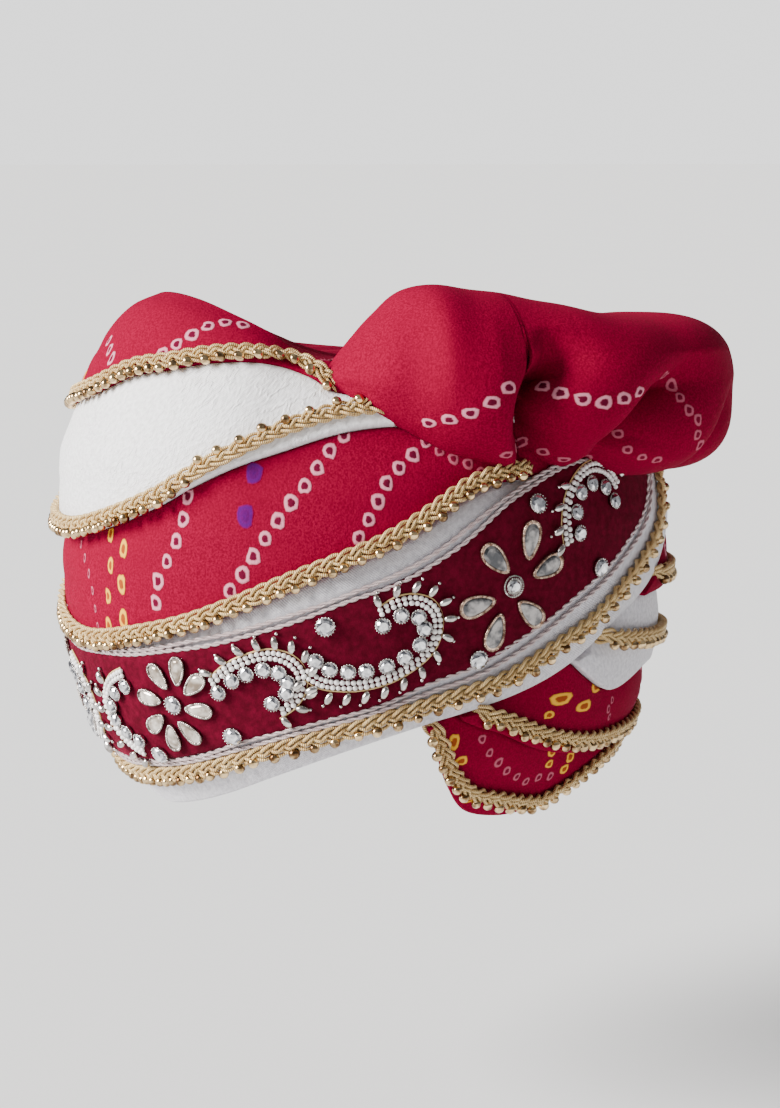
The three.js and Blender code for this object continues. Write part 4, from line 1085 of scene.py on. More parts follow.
flowers = [
    {"name": "brow_flower", "along": 57 * mm, "across": 0.58, "petals": 8, "turned": 25, "reach": 14.5 * mm,
     "size": 0.9, "glass": pearlGlass, "wire": agedWire},
    {"name": "side_flower", "along": 213 * mm, "across": 0.49, "petals": 6, "turned": 2, "reach": 18 * mm,
     "size": 1.17, "glass": smokeGlass, "wire": roseWire},
]
vines = {  # side says on which side of the way the seed beads and rice beads lie, 1 is the left
    "vine_brow": {"side": -1, "rows": [(29, 0.83), (20, 0.77), (14, 0.64), (14, 0.5), (20, 0.38), (28, 0.3)]},
    "vine_left_arch": {"side": 1, "rows": [(81, 0.6), (88, 0.67), (95, 0.69), (103, 0.68), (110, 0.6), (114, 0.48),
                                           (113, 0.37), (106, 0.32)]},
    "vine_left_hook": {"side": -1, "rows": [(125, 0.56), (131, 0.44), (139, 0.36), (147, 0.31), (156, 0.29),
                                            (164, 0.31), (171, 0.37), (173, 0.49), (170, 0.61), (162, 0.69),
                                            (154, 0.67)]},
    "vine_side": {"side": 1, "rows": [(247, 0.6), (246, 0.73), (251, 0.84), (260, 0.87), (269, 0.81), (274, 0.68)]},
}
loneStones = {"stone_brow_low": (39, 0.17), "stone_brow_right": (85, 0.16), "stone_middle_high": (130, 0.84),
              "stone_side_low": (197.5, 0.1), "stone_side_high": (226, 0.9), "stone_back_low": (262, 0.27)}
ornament = {
    "petalLength": 15 * mm,
    "petalWidth": 9.6 * mm,
    "petalHeight": 2.6 * mm,
    "stone": 9 * mm,
    "vineStone": 7.4 * mm,
    "stoneHeight": 3.2 * mm,
    "seed": 2.5 * mm,
    "rice": (6.2 * mm, 3.7 * mm),
    "riceStep": 8.6 * mm,
    "riceLean": 0.45,
    "wire": 0.95 * mm,
}


def borderWidth(along):
    low, high = borderHeights(degreesAlong(along))
    return high - low


def borderSpot(along, rise, out=0.0):  # rise is metres up from the border's lower edge
    degrees = degreesAlong(along)
    return wallPoint(degrees, borderHeights(degrees)[0] + rise, velvetFace + out)


def borderFrames(along, rise, angle=0.0, out=0.0, scale=None):
    along, rise = np.atleast_1d(along).astype(float), np.atleast_1d(rise).astype(float)
    angle = np.broadcast_to(np.asarray(angle, float), along.shape)
    at = borderSpot(along, rise, out)
    x = borderSpot(along + mm, rise, out) - borderSpot(along - mm, rise, out)
    y = borderSpot(along, rise + mm, out) - borderSpot(along, rise - mm, out)
    x /= np.linalg.norm(x, axis=1)[:, None]
    z = np.cross(x, y)
    z /= np.linalg.norm(z, axis=1)[:, None]
    y = np.cross(z, x)
    c, n = np.cos(angle)[:, None], np.sin(angle)[:, None]
    return framesAt(at, x * c + y * n, y * c - x * n, z, scale)


def raiseFace(rise, size, turned=0.0):
    bpy.ops.mesh.extrude_region_move(TRANSFORM_OT_translate={"value": (0, 0, rise)})
    bpy.ops.transform.resize(value=(size, size, 1))
    if turned:
        bpy.ops.transform.rotate(value=turned, orient_axis="Z", center_override=(0, 0, 0))


def startDisc(radius, sides):
    bpy.ops.object.select_all(action="DESELECT")
    bpy.ops.mesh.primitive_circle_add(vertices=sides, radius=radius, fill_type="NGON", location=(0, 0, 0))
    bpy.ops.object.mode_set(mode="EDIT")
    bpy.ops.mesh.select_all(action="SELECT")


def endShape():
    bpy.ops.mesh.select_all(action="SELECT")
    bpy.ops.mesh.normals_make_consistent(inside=False)
    bpy.ops.object.mode_set(mode="OBJECT")
    return takeMaster()


def mergeMasters(*parts):  # each is a master and the material number of its faces
    points, faces, numbers, start = [], [], [], 0
    for master, number in parts:
        points.append(master["points"])
        faces += [[k + start for k in face] for face in master["faces"]]
        numbers += [own or number for own in master["numbers"]]
        start += len(master["points"])
    return {"points": np.concatenate(points), "faces": faces, "numbers": numbers}


def ballRing(size, radius, height, count, squash=1.0):
    ball = roundMaster("claw", size, 6, 4)
    a = np.linspace(0, 2 * np.pi, count, endpoint=False)
    at = np.stack([radius * np.cos(a), radius * np.sin(a), np.full(count, height)], 1)
    x = np.stack([np.cos(a), np.sin(a), np.zeros(count)], 1)
    y = np.stack([-np.sin(a), np.cos(a), np.zeros(count)], 1)
    points, faces, numbers = copiesOf(ball, framesAt(at, x, y * squash, np.tile([0, 0, 1.0], (count, 1))))
    return {"points": points, "faces": faces, "numbers": numbers}


def cutStone(radius, height, sides):  # a wide table and two rows of facets, material 2 paints dark reflections on every other one
    startDisc(radius, sides)
    half = math.pi / sides
    raiseFace(height * 0.4, 1.0)
    raiseFace(height * 0.35, 0.8, half)
    raiseFace(height * 0.25, 0.74, half)
    stone = endShape()
    for k, face in enumerate(stone["faces"]):
        middle = stone["points"][face].mean(axis=0)
        sector = int((math.atan2(middle[1], middle[0]) + math.pi) / half + 0.5)
        away = math.hypot(middle[0], middle[1])
        if radius * 0.2 < away < radius * 0.93 and (sector // 2 + (away > radius * 0.72)) % 2:
            stone["numbers"][k] = 2
    return stone


def settingCup(radius, height, sides):
    startDisc(radius * 0.96, sides)
    raiseFace(height * 0.75, 1.04)
    raiseFace(height * 0.25, 0.93)
    raiseFace(-height * 0.35, 0.9)
    return endShape()


def clawStone(size):  # glass is material 0 and silver 1
    radius = size / 2
    stone = cutStone(radius * 0.88, ornament["stoneHeight"] * 0.62, 9)
    stone["points"][:, 2] += ornament["stoneHeight"] * 0.36
    cup = settingCup(radius * 0.95, ornament["stoneHeight"] * 0.55, 20)
    claws = ballRing(size * 0.1, radius * 0.95, ornament["stoneHeight"] * 0.5, 18, 0.8)
    return mergeMasters((stone, 0), (cup, 1), (claws, 1))


def ringedStone(size):  # a smaller stone inside a wound wire ring
    stone = cutStone(size * 0.3, ornament["stoneHeight"] * 0.7, 12)
    cup = settingCup(size * 0.34, ornament["stoneHeight"] * 0.6, 20)
    stone["points"][:, 2] += ornament["stoneHeight"] * 0.25
    inner = ballRing(size * 0.1, size * 0.36, ornament["stoneHeight"] * 0.5, 22, 0.6)
    outer = ballRing(size * 0.12, size * 0.46, ornament["stoneHeight"] * 0.22, 30, 0.7)
    return mergeMasters((stone, 0), (cup, 1), (inner, 1), (outer, 1))


def dropOutline(length, width, count):  # a drop with its point at -x
    a = np.linspace(0, 2 * np.pi, count, endpoint=False)
    narrowing = 1 - 0.38 * (1 - np.cos(a)) * 0.5
    return np.stack([length / 2 * np.cos(a), width / 2 * np.sin(a) * narrowing * (1 + 0.12 * np.cos(a))], 1)


def petalMaster(size, domed):
    length, width = ornament["petalLength"] * size, ornament["petalWidth"] * size
    height = ornament["petalHeight"]
    startDisc(1.0, 28)
    raiseFace(height * 0.45, 1.0)
    raiseFace(height * 0.16, 0.9)
    raiseFace(-height * 0.14, 0.93)
    if domed:
        raiseFace(height * 0.22, 0.86)
        raiseFace(height * 0.14, 0.74)
        raiseFace(height * 0.05, 0.5)
    else:
        raiseFace(height * 0.2, 0.8)
        raiseFace(height * 0.05, 0.75)
    plate = endShape()
    points = plate["points"]
    radius = np.hypot(points[:, 0], points[:, 1])
    a = np.arctan2(points[:, 1], points[:, 0])
    narrowing = 1 - 0.38 * (1 - np.cos(a)) * 0.5
    points[:, 0] = length / 2 * np.cos(a) * radius
    points[:, 1] = width / 2 * np.sin(a) * narrowing * (1 + 0.12 * np.cos(a)) * radius
    plate["numbers"] = [0 if all(radius[k] < 0.85 for k in face) else 1 for face in plate["faces"]]
    ball = roundMaster("stitch", ornament["wire"] * 1.25, 6, 4)
    count = 44 if not domed else 34
    line = dropOutline(length * 0.955, width * 0.935, 200)
    way = np.concatenate([[0], np.cumsum(np.linalg.norm(np.diff(line, axis=0, append=line[:1]), axis=1))])
    spots = np.linspace(0, way[-1], count, endpoint=False)
    closed = np.concatenate([line, line[:1]])
    xs, ys = (np.interp(spots, way, closed[:, k]) for k in range(2))
    ahead = np.stack([np.roll(xs, -1) - np.roll(xs, 1), np.roll(ys, -1) - np.roll(ys, 1), np.zeros(count)], 1)
    ahead /= np.linalg.norm(ahead, axis=1)[:, None]
    side = np.cross([0, 0, 1.0], ahead)
    at = np.stack([xs, ys, np.full(count, height * 0.5)], 1)
    thin = 0.62 if not domed else 1.25
    rim = copiesOf(ball, framesAt(at, side * 1.15, ahead * thin, np.tile([0, 0, 1.0], (count, 1))))
    start = len(points)
    return {"points": np.concatenate([points, rim[0]]),
            "faces": plate["faces"] + [[k + start for k in face] for face in rim[1]],
            "numbers": plate["numbers"] + [1] * len(rim[1])}


def placeMaster(name, master, matrices, materials):
    points, faces, numbers = copiesOf(master, matrices)
    return makePiece(name, points, faces, materials, None, numbers, True)


def flattenGlass(piece):  # cut glass keeps its flat facets, the metal is smooth
    for polygon in piece.data.polygons:
        polygon.use_smooth = polygon.material_index not in (0, 2)


def makeFlower(flower, mirrored):
    sign = -1 if mirrored else 1
    along = flower["along"] * sign
    width = float(borderWidth(along))
    full = flower["reach"] + ornament["petalLength"] * flower["size"] / 2
    shrink = min(1.0, width * 0.47 / full) if mirrored else 1.0
    master = petalMaster(flower["size"] * shrink, flower["glass"] is pearlGlass)
    tilt = math.atan2(float(borderSpot(along + 8 * mm, 0.0)[2] - borderSpot(along - 8 * mm, 0.0)[2]), 16 * mm)
    for i in range(flower["petals"]):
        a = math.radians(flower["turned"] + 360 * i / flower["petals"])
        if mirrored:
            a = math.pi - a
        dx, dy = flower["reach"] * shrink * math.cos(a), flower["reach"] * shrink * math.sin(a)
        u, v = dx * math.cos(tilt), dy / math.cos(tilt) if mirrored is False else dy
        frames = borderFrames(along + u, flower["across"] * float(borderWidth(along + u)) + v, a, 0.3 * mm)
        name = f"{flower['name']}_glass_{i + 1}" if not mirrored else f"{flower['name']}_far_glass_{i + 1}"
        piece = placeMaster(name, master, frames, [flower["glass"], flower["wire"]])
        if flower["glass"] is smokeGlass:
            flattenGlass(piece)
        nodes = [] if mirrored else [f"{flower['name']}_petal_{i + 1}"]
        finishPiece(piece, "cut_glass" if flower["glass"] is smokeGlass else "pearl_glass", *nodes)
    size = ornament["stone"] * (1.0 if flower["glass"] is pearlGlass else 1.15) * shrink
    middle = clawStone(size) if flower["glass"] is pearlGlass else ringedStone(size)
    name = f"{flower['name']}_stone" if not mirrored else f"{flower['name']}_far_stone"
    piece = placeMaster(name, middle, borderFrames(along, flower["across"] * width, 0.3, 0.3 * mm),
                        [clearGlass, silverMetal, paintedDarkFacetGlass])
    flattenGlass(piece)
    finishPiece(piece, "cut_glass", *([] if mirrored else [f"{flower['name']}_centre"]))


for flower in flowers:
    makeFlower(flower, False)
    makeFlower(flower, True)
print("flowers made")

loneMaster = clawStone(ornament["stone"])
for stoneName, (stoneAlong, stoneAcross) in loneStones.items():
    for mirrored in (False, True):
        stoneX = stoneAlong * mm * (-1 if mirrored else 1)
        stoneFrame = borderFrames(stoneX, stoneAcross * float(borderWidth(stoneX)), stoneAlong, 0.3 * mm)
        stonePiece = placeMaster(stoneName + ("_far_glass" if mirrored else "_glass"), loneMaster, stoneFrame,
                                 [clearGlass, silverMetal, paintedDarkFacetGlass])
        flattenGlass(stonePiece)
        finishPiece(stonePiece, "cut_glass", *([] if mirrored else [stoneName]))

vineStoneMaster = clawStone(ornament["vineStone"])
seedMaster = roundMaster("seed_bead", ornament["seed"], 8, 6, (1, 1, 0.85))
riceMaster = roundMaster("rice_bead", ornament["rice"][0], 10, 8,
                         (ornament["rice"][1] / ornament["rice"][0],) * 2 + (1,))
tipMaster = roundMaster("tip_bead", 1.7 * mm, 8, 5)


def smoothWay(rows, step):  # an even way through the rows, in metres on the border laid flat
    rows = np.asarray(rows, float)
    t = np.arange(len(rows), dtype=float)
    fine = np.linspace(0, len(rows) - 1, 40 * len(rows))
    line = np.stack([curveThrough(t, rows[:, k], fine) for k in range(2)], 1)
    way = np.concatenate([[0], np.cumsum(np.linalg.norm(np.diff(line, axis=0), axis=1))])
    count = max(int(round(way[-1] / step)), 1)
    even = np.linspace(0, way[-1], count + 1)
    return np.stack([np.interp(even, way, line[:, k]) for k in range(2)], 1)


def sideways(line, side, distance):
    ahead = np.gradient(line, axis=0)
    ahead /= np.linalg.norm(ahead, axis=1)[:, None]
    return line + np.stack([-ahead[:, 1], ahead[:, 0]], 1) * side * distance


def makeVine(name, vine, mirrored):
    sign = -1 if mirrored else 1
    side = vine["side"] * sign
    rows = np.array([(x * mm * sign, y * float(borderWidth(x * mm * sign))) for x, y in vine["rows"]])
    stones = smoothWay(rows, ornament["vineStone"] * 0.97) if mirrored else rows
    stones = sideways(stones, side, -0.9 * mm)
    frames = borderFrames(stones[:, 0], stones[:, 1], np.arange(len(stones)) * 0.7, 0.4 * mm)
    parts = [(copiesOf(vineStoneMaster, frames), None)]
    line = smoothWay(rows, 0.6 * mm)
    seedPoints, seedFaces = [], []
    for distance, lift in ((3.9 * mm, 1.1 * mm), (6.2 * mm, 1.0 * mm)):
        row = smoothWay(sideways(line, side, distance)[::8], ornament["seed"] * 1.02)
        size = 1 + luck.normal(0, 0.05, len(row))
        seeds = borderFrames(row[:, 0], row[:, 1], 0.0, lift, size)
        points, faces, _ = copiesOf(seedMaster, seeds)
        seedFaces += [[k + sum(map(len, seedPoints)) for k in face] for face in faces]
        seedPoints.append(points)
    seedPoints = np.concatenate(seedPoints)
    outer = sideways(line, side, 10.6 * mm)
    keep = smoothWay(outer[::8], ornament["riceStep"])
    foot = smoothWay(sideways(line, side, 6.6 * mm)[::8], ornament["riceStep"])
    foot = foot[np.linspace(0, len(foot) - 1, len(keep)).round().astype(int)]
    inside = (keep[:, 1] > 1.5 * mm) & (keep[:, 1] < borderWidth(keep[:, 0]) - 1.5 * mm)
    keep, foot = keep[inside], foot[inside]
    nearest = [np.argmin(np.linalg.norm(line - k, axis=1)) for k in keep]
    away = keep - line[nearest]
    angle = np.arctan2(away[:, 1], away[:, 0]) + ornament["riceLean"] * side + luck.normal(0, 0.15, len(keep))
    lying = borderFrames(keep[:, 0], keep[:, 1], angle, ornament["rice"][1] * 0.45)
    lying[:, :3, [0, 2]] = lying[:, :3, [2, 0]]  # the bead's long axis lies outward
    lying[:, :3, 1] *= -1
    tipAt = keep + np.stack([np.cos(angle), np.sin(angle)], 1) * (ornament["rice"][0] / 2 + 0.6 * mm)
    tips = borderFrames(tipAt[:, 0], tipAt[:, 1], 0.0, 0.8 * mm)
    wire = sideways(line, side, 7.7 * mm)
    wireCentres = borderSpot(wire[:, 0], wire[:, 1], 0.5 * mm)
    wireFrames = borderFrames(wire[:, 0], wire[:, 1])
    wirePart = tube(wireCentres, wireFrames[:, :3, 1], wireFrames[:, :3, 2], 0.4 * mm, 0.4 * mm, 5)
    stonePoints, stoneFaces, stoneNumbers = parts[0][0]
    allPoints, allFaces, numbers = [stonePoints], list(stoneFaces), list(stoneNumbers)
    start = len(stonePoints)
    for points, faces, number in ((seedPoints, seedFaces, 3), (*copiesOf(riceMaster, lying)[:2], 1),
                                  (*copiesOf(tipMaster, tips)[:2], 1), (wirePart[0], wirePart[1], 4)):
        allPoints.append(points)
        allFaces += [[k + start for k in face] for face in faces]
        numbers += [number] * len(faces)
        start += len(points)
    piece = makePiece(name + ("_far_beads" if mirrored else "_beads"), np.concatenate(allPoints), allFaces,
                      [clearGlass, silverMetal, paintedDarkFacetGlass, whiteBead, goldThread], None, numbers)
    flattenGlass(piece)
    return finishPiece(piece, "stone_vine", *([] if mirrored else [name]))


for vineName, vine in vines.items():
    makeVine(vineName, vine, False)
    makeVine(vineName, vine, True)
print("vines made")


# Tied dots: each is a small pucker in the cloth, a pale ring with a dark middle. The lines that the
# photograph shows are given by its own pixels, and each dot lies on the cloth that carries it.

photo = {"width": 780, "height": 1108, "focal": 2812.5}
camera = {"target": (0.00528, 0.00914, 0.108), "back": (0.8576, -0.4951, 0.1392), "distance": 1.35, "lens": 91.38}
dotColours = {
    "pink": {"ring": (0.62, 0.24, 0.31), "middle": (0.08, 0.004, 0.02)},
    "faint": {"ring": (0.42, 0.10, 0.15), "middle": (0.12, 0.004, 0.02)},
    "yellow": {"ring": (0.80, 0.42, 0.035), "middle": (0.30, 0.07, 0.01)},
    "purple": {"ring": (0.07, 0.004, 0.12), "middle": (0.05, 0.003, 0.11)},
}
dotLines = [
    {"on": "red", "kind": "faint", "size": (2.2, 4.5), "pitch": 7.5,
     "line": [(83, 533), (83, 549), (87, 565), (91, 582), (94, 598), (96, 612), (98, 626)]},
    {"on": "red", "kind": "yellow", "size": (4.4, 8.5), "pitch": 13,
     "line": [(111, 534), (111, 563), (108.5, 595), (109, 626)]},
    {"on": "red", "kind": "yellow", "size": (5.4, 9.5), "pitch": 15.5,
     "line": [(125, 518), (124, 546), (121.5, 586), (123.5, 619)]},
    {"on": "red", "kind": "pink", "size": (5.8, 7.4), "pitch": 9.2,
     "line": [(188, 496), (184, 516), (179, 536), (171, 553), (163, 570), (156, 586), (156, 603)]},
    {"on": "red", "kind": "pink", "size": (6.2, 7.6), "pitch": 9.6,
     "line": [(344, 436), (327, 454), (313, 474), (301, 491), (287, 508), (273, 528), (259, 547), (250, 562),
              (240, 579), (230, 591)]},
    {"on": "red", "kind": "pink", "size": (6.2, 7.2), "pitch": 9,
     "line": [(426, 442), (416, 452), (401, 466), (387, 482), (378, 502), (369, 519), (359, 538)]},
    {"on": "red", "kind": "faint", "size": (5.2, 5.8), "pitch": 7,
     "line": [(426, 442), (437, 450), (450, 457), (459, 462), (472, 465), (481, 472)]},
    {"on": "red", "kind": "purple", "size": (8, 11), "pitch": 30, "line": [(254, 473), (255, 474)]},
    {"on": "red", "kind": "purple", "size": (7, 10), "pitch": 30, "line": [(245, 516), (246, 517)]},
    {"on": "crown", "kind": "pink", "size": (4.6, 7), "pitch": 8.5,
     "line": [(121, 310), (112, 323), (109, 341), (112, 360), (112, 371)]},
    {"on": "crown", "kind": "pink", "size": (6.4, 6.6), "pitch": 7.8,
     "line": [(243, 325), (220, 322), (204, 328), (188, 338), (172, 347), (162, 354)]},
    {"on": "crown", "kind": "faint", "size": (5, 2.6), "pitch": 6, "line": [(306, 360), (320, 361), (334, 360)]},
    {"on": "crown", "kind": "yellow", "size": (3.4, 8), "pitch": 9.5, "line": [(88, 362), (84, 378), (80, 392)]},
    {"on": "puff", "kind": "pink", "size": (8, 5.6), "pitch": 10.2,
     "line": [(429, 423), (452, 419), (476, 411), (496, 400), (509, 388)]},
    {"on": "puff", "kind": "pink", "size": (8, 5.8), "pitch": 10.4,
     "line": [(543, 386), (555, 392), (577, 398), (601, 403), (627, 398), (640, 392)]},
    {"on": "puff", "kind": "faint", "size": (5.6, 6), "pitch": 7.5,
     "line": [(664, 375), (672, 386), (683, 403), (690, 412), (698, 418), (697, 433), (700, 445)]},
    {"on": "puff", "kind": "faint", "size": (7, 4.6), "pitch": 10,
     "line": [(507, 455), (522, 441), (539, 450), (561, 457), (586, 457)]},
    {"on": "puff", "kind": "faint", "size": (6, 4.6), "pitch": 9,
     "line": [(618, 434), (625, 448), (637, 456), (657, 460)]},
    {"on": "middle", "kind": "yellow", "size": (11, 5.6), "pitch": 8, "line": [(593, 677), (596, 687)]},
    {"on": "middle", "kind": "yellow", "size": (14, 5.6), "pitch": 30, "line": [(561, 699), (562, 700)]},
    {"on": "middle", "kind": "yellow", "size": (12, 5.4), "pitch": 30, "line": [(584, 706), (585, 707)]},
    {"on": "middle", "kind": "yellow", "size": (7, 4), "pitch": 30, "line": [(549, 715), (550, 716)]},
    {"on": "middle", "kind": "faint", "size": (3, 4), "pitch": 4.5, "line": [(612, 700), (608, 710), (609, 717)]},
    {"on": "hem", "kind": "faint", "size": (4.6, 5.0), "pitch": 8.6,
     "line": [(473, 722), (481, 737), (487, 750), (497, 761), (508, 772), (519, 778), (529, 783), (539, 777),
              (550, 776)]},
    {"on": "hem", "kind": "yellow", "size": (6, 8), "pitch": 30, "line": [(454, 742), (455, 743)]},
    {"on": "hem", "kind": "yellow", "size": (7.6, 5.4), "pitch": 30, "line": [(461, 761), (462, 762)]},
    {"on": "hem", "kind": "yellow", "size": (7, 5), "pitch": 30, "line": [(469, 799), (470, 800)]},
    {"on": "hem", "kind": "yellow", "size": (6.6, 5), "pitch": 5.5, "line": [(552, 752), (549, 764)]},
    {"on": "hem", "kind": "yellow", "size": (6.6, 5), "pitch": 5.5, "line": [(570, 757), (564, 769)]},
    {"on": "top", "kind": "yellow", "size": (4, 8), "pitch": 7, "line": [(672, 541), (675, 552)]},
]
dotShape = {"sectors": 12,
            "rings": [(0.0, 0.34, "middle", 0.85), (0.44, 0.3, "middle", 0.75), (0.58, 0.2, "ring", 0.85),
                                     (0.78, 0.24, "ring", 0.95), (0.92, 0.16, "ring", 0.75), (1.06, 0.07, "ring", 0.0)]}


def clothTree(piece):
    mesh = piece.data
    return BVHTree.FromPolygons([v.co.copy() for v in mesh.vertices], [list(p.vertices) for p in mesh.polygons])


clothTrees = {"red": clothTree(redBand), "crown": clothTree(crownCap), "puff": clothTree(puffPiece),
              "middle": clothTree(tierPieces["nape_red_middle"]), "hem": clothTree(tierPieces["nape_red_hem"]),
              "top": clothTree(tierPieces["nape_red_top"])}


def pixelRay(x, y):
    back = Vector(camera["back"]).normalized()
    right = Vector((-back.y, back.x, 0)).normalized()
    up = back.cross(right)
    eye = Vector(camera["target"]) + back * camera["distance"]
    way = -back * photo["focal"] + right * (x - photo["width"] / 2) + up * (photo["height"] / 2 - y)
    return eye, way.normalized()


def evenly(points, pitch):
    points = np.array(points, float)
    way = np.concatenate([[0], np.cumsum(np.linalg.norm(np.diff(points, axis=0), axis=1))])
    count = int(way[-1] / pitch + 0.35)
    spots = np.arange(count + 1) * (way[-1] / max(count, 1)) if count else np.array([0.0])
    return np.stack([np.interp(spots, way, points[:, k]) for k in range(3)], 1)


dotPoints, dotFaces, dotDyes = [], [], []


def addDot(tree, spot, kind, wide, tall):
    found, normal, _, _ = tree.find_nearest(Vector(spot))
    if found is None:
        return
    upward = Vector((0, 0, 1))
    up = (upward - normal * normal.dot(upward)).normalized()
    side = up.cross(normal)
    sectors = dotShape["sectors"]
    a = np.arange(sectors) * 2 * np.pi / sectors + luck.uniform(0, 1)
    wobble = 1 + 0.07 * np.sin(3 * a + luck.uniform(0, 6)) + luck.normal(0, 0.045, sectors)
    squarish = 1 / np.maximum(np.abs(np.cos(a)) ** 3 + np.abs(np.sin(a)) ** 3, 0.1) ** (1 / 3)
    start = sum(map(len, dotPoints))
    rows = []
    colours = dotColours[kind]
    for share, lift, part, cover in dotShape["rings"]:
        count = 1 if share == 0 else sectors
        radii = share * (wobble * squarish)[:count] * 0.93
        if part == "middle" and share:
            radii = radii * (1 + luck.normal(0, 0.14, count))
        for k in range(count):
            offset = side * (radii[k] * wide / 2 * math.cos(a[k])) + up * (radii[k] * tall / 2 * math.sin(a[k]))
            probe = found + offset + normal * 6 * mm
            hit, _, _, _ = tree.ray_cast(probe, -normal, 14 * mm)
            at = hit if hit is not None else found + offset
            rows.append(at + normal * lift * mm)
            dotDyes.append((*colours[part], cover))
    dotPoints.append(np.array(rows))
    for k in range(sectors):
        n = (k + 1) % sectors
        dotFaces.append([start, start + 1 + k, start + 1 + n])
        for ring in range(len(dotShape["rings"]) - 2):
            inner, outer = start + 1 + ring * sectors, start + 1 + (ring + 1) * sectors
            dotFaces.append([inner + k, outer + k, outer + n, inner + n])


def addDotLine(tree, points, row):
    for spot in evenly(points, row["pitch"] * mm):
        size = 1 + luck.normal(0, 0.06)
        addDot(tree, spot, row["kind"], row["size"][0] * size * mm, row["size"][1] * size * mm)


for row in dotLines:
    rowTree = clothTrees[row["on"]]
    hits = [rowTree.ray_cast(*pixelRay(x, y))[0] for x, y in row["line"]]
    hits = [hit for hit in hits if hit is not None]
    if hits:
        addDotLine(rowTree, hits if len(hits) > 1 else hits * 2, row)

# The far side carries the same kinds of lines, run from edge to edge of each cloth
farLines = [
    {"on": "red", "low": "red", "high": "white", "from": -172, "to": -22, "step": 17, "lean": 12},
    {"on": "crown", "low": "crown", "high": "crest", "from": -170, "to": -25, "step": 24, "lean": 16},
]
for row in farLines:
    for i, angle in enumerate(np.arange(row["from"], row["to"], row["step"])):
        way = 1 if i % 2 else -1
        shares = np.linspace(0.08, 0.95, 6)
        degrees = angle + way * row["lean"] * (shares - 0.5) + 3 * np.sin(3 * shares)
        low, high = edgeAt(row["low"], degrees), edgeAt(row["high"], degrees)
        farPoints = wallPoint(degrees, low + 8 * mm + (high - low - 10 * mm) * shares, turban["foldProud"] * 0.5)
        kind = "yellow" if i % 3 == 2 else "pink"
        addDotLine(clothTrees[row["on"]], farPoints,
                   {"kind": kind, "size": (6, 7) if kind == "pink" else (5.4, 9),
                     "pitch": 9.4 if kind == "pink" else 13})
for tierName, treeName in (("nape_red_hem", "hem"), ("nape_red_middle", "middle"), ("nape_red_top", "top")):
    tier = tiers[tierName]
    for i, angle in enumerate(np.arange(150, 276, 13)):
        shares = np.linspace(0.1, 0.95, 5)
        degrees = angle + (8 if i % 2 else -8) * shares
        low, high = tierHeights(tier, degrees)
        farPoints = wallPoint(degrees, low + (high - low) * shares, turban["tierProud"] * 0.6)
        kind = "yellow" if i % 3 == 1 else "pink"
        addDotLine(clothTrees[treeName], farPoints,
                   {"kind": kind, "size": (5.6, 6.2) if kind == "pink" else (5.4, 8),
                     "pitch": 8.6 if kind == "pink" else 12})
dotPiece = makePiece("tied_dots", np.concatenate(dotPoints), dotFaces, [dotCloth])
dyeLayer = dotPiece.data.color_attributes.new("dye", "FLOAT_COLOR", "POINT")
dyeLayer.data.foreach_set("color", np.array(dotDyes, np.float32).ravel())
finishPiece(dotPiece, "red_cloth")
print("dots made:", len(dotPoints))


# Camera, floor and light

studio = {
    "floorHeight": -0.16,
    "floorSize": 400,
    "backdrop": 1.75,  # the brightness of the pale paper round the floor
    "ambient": 0.34,
    "sun": {"power": 12.5, "angle": 36, "from": (-0.86, 0.3, 0.42)},  # shares right, back and up of the camera
}


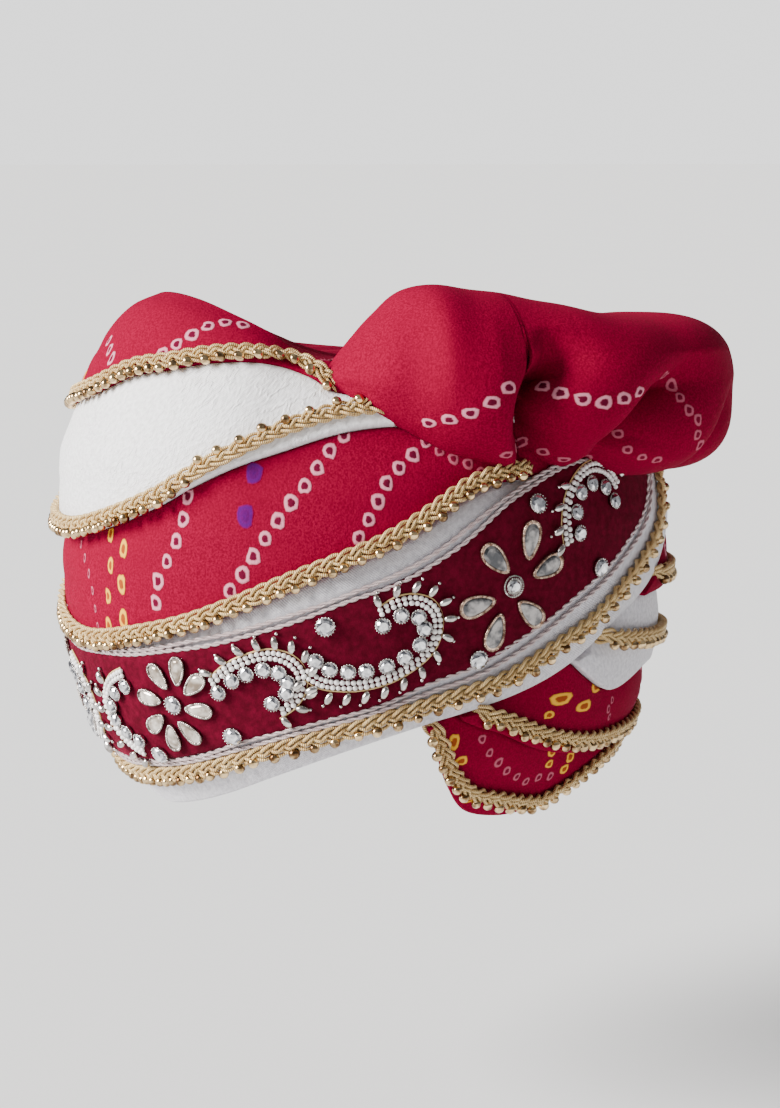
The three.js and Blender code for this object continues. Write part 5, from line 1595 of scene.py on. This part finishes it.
def makeStudio():
    target, back = Vector(camera["target"]), Vector(camera["back"]).normalized()
    lens = bpy.data.cameras.new("view")
    lens.sensor_width = 36
    lens.lens = camera["lens"]
    viewer = bpy.data.objects.new("view", lens)
    viewer.location = target + back * camera["distance"]
    viewer.rotation_mode = "QUATERNION"
    viewer.rotation_quaternion = (-back).to_track_quat("-Z", "Y")
    bpy.context.scene.collection.objects.link(viewer)
    bpy.context.scene.camera = viewer

    right = Vector((-back.y, back.x, 0)).normalized()
    sun = studio["sun"]
    lamp = bpy.data.lights.new("soft window", "SUN")
    lamp.energy = sun["power"]
    lamp.angle = math.radians(sun["angle"])
    lamp.color = (1.0, 0.985, 0.965)
    window = bpy.data.objects.new("soft window", lamp)
    way = right * sun["from"][0] + back * sun["from"][1] + Vector((0, 0, sun["from"][2]))
    window.location = target + way * 2
    window.rotation_mode = "QUATERNION"
    window.rotation_quaternion = (-way).to_track_quat("-Z", "Y")
    bpy.context.scene.collection.objects.link(window)

    world = bpy.data.worlds.new("studio")
    world.use_nodes = True
    nodes, links = world.node_tree.nodes, world.node_tree.links
    ambient = nodes["Background"]
    ambient.inputs["Color"].default_value = (0.93, 0.95, 1.0, 1)
    ambient.inputs["Strength"].default_value = studio["ambient"]
    paper = nodes.new("ShaderNodeBackground")
    paper.inputs["Color"].default_value = (1.0, 1.0, 1.0, 1)
    paper.inputs["Strength"].default_value = studio["backdrop"]
    seen = nodes.new("ShaderNodeLightPath")
    mix = nodes.new("ShaderNodeMixShader")
    links.new(seen.outputs["Is Camera Ray"], mix.inputs[0])
    links.new(ambient.outputs[0], mix.inputs[1])
    links.new(paper.outputs[0], mix.inputs[2])
    links.new(mix.outputs[0], nodes["World Output"].inputs["Surface"])
    bpy.context.scene.world = world

    bpy.ops.object.select_all(action="DESELECT")
    bpy.ops.mesh.primitive_plane_add(size=studio["floorSize"], location=(0, 0, studio["floorHeight"]))
    floor = bpy.context.object
    floor.name = "floor"
    material, tree, shader = startMaterial("pale floor", Roughness=1.0, Specular_IOR_Level=0.0)
    mottle = noiseNode(tree, coords(tree, "Object"), 3.0, 2)
    tree.links.new(mixColour(tree, mottle, (0.79, 0.79, 0.785, 1), (0.81, 0.81, 0.805, 1)), shader.inputs["Base Color"])
    floor.data.materials.append(material)


makeStudio()
print("studio made")

for piece, held, rests, length in [
    (whiteBand, "stretched", ["red_cloth"], wholeGirth), (redBand, "stretched", ["brow_cloth"], wholeGirth),
    (browBand, "stretched", ["tier_red_top"], wholeGirth), (crownCap, "stretched", ["white_cloth"], wholeGirth),
    (velvetPiece, "stretched", ["brow_cloth"], arcAt(border["to"]) - arcAt(border["from"])),
]:
    sheetOf(piece)
for tierName, piece in tierPieces.items():
    sheetOf(piece)
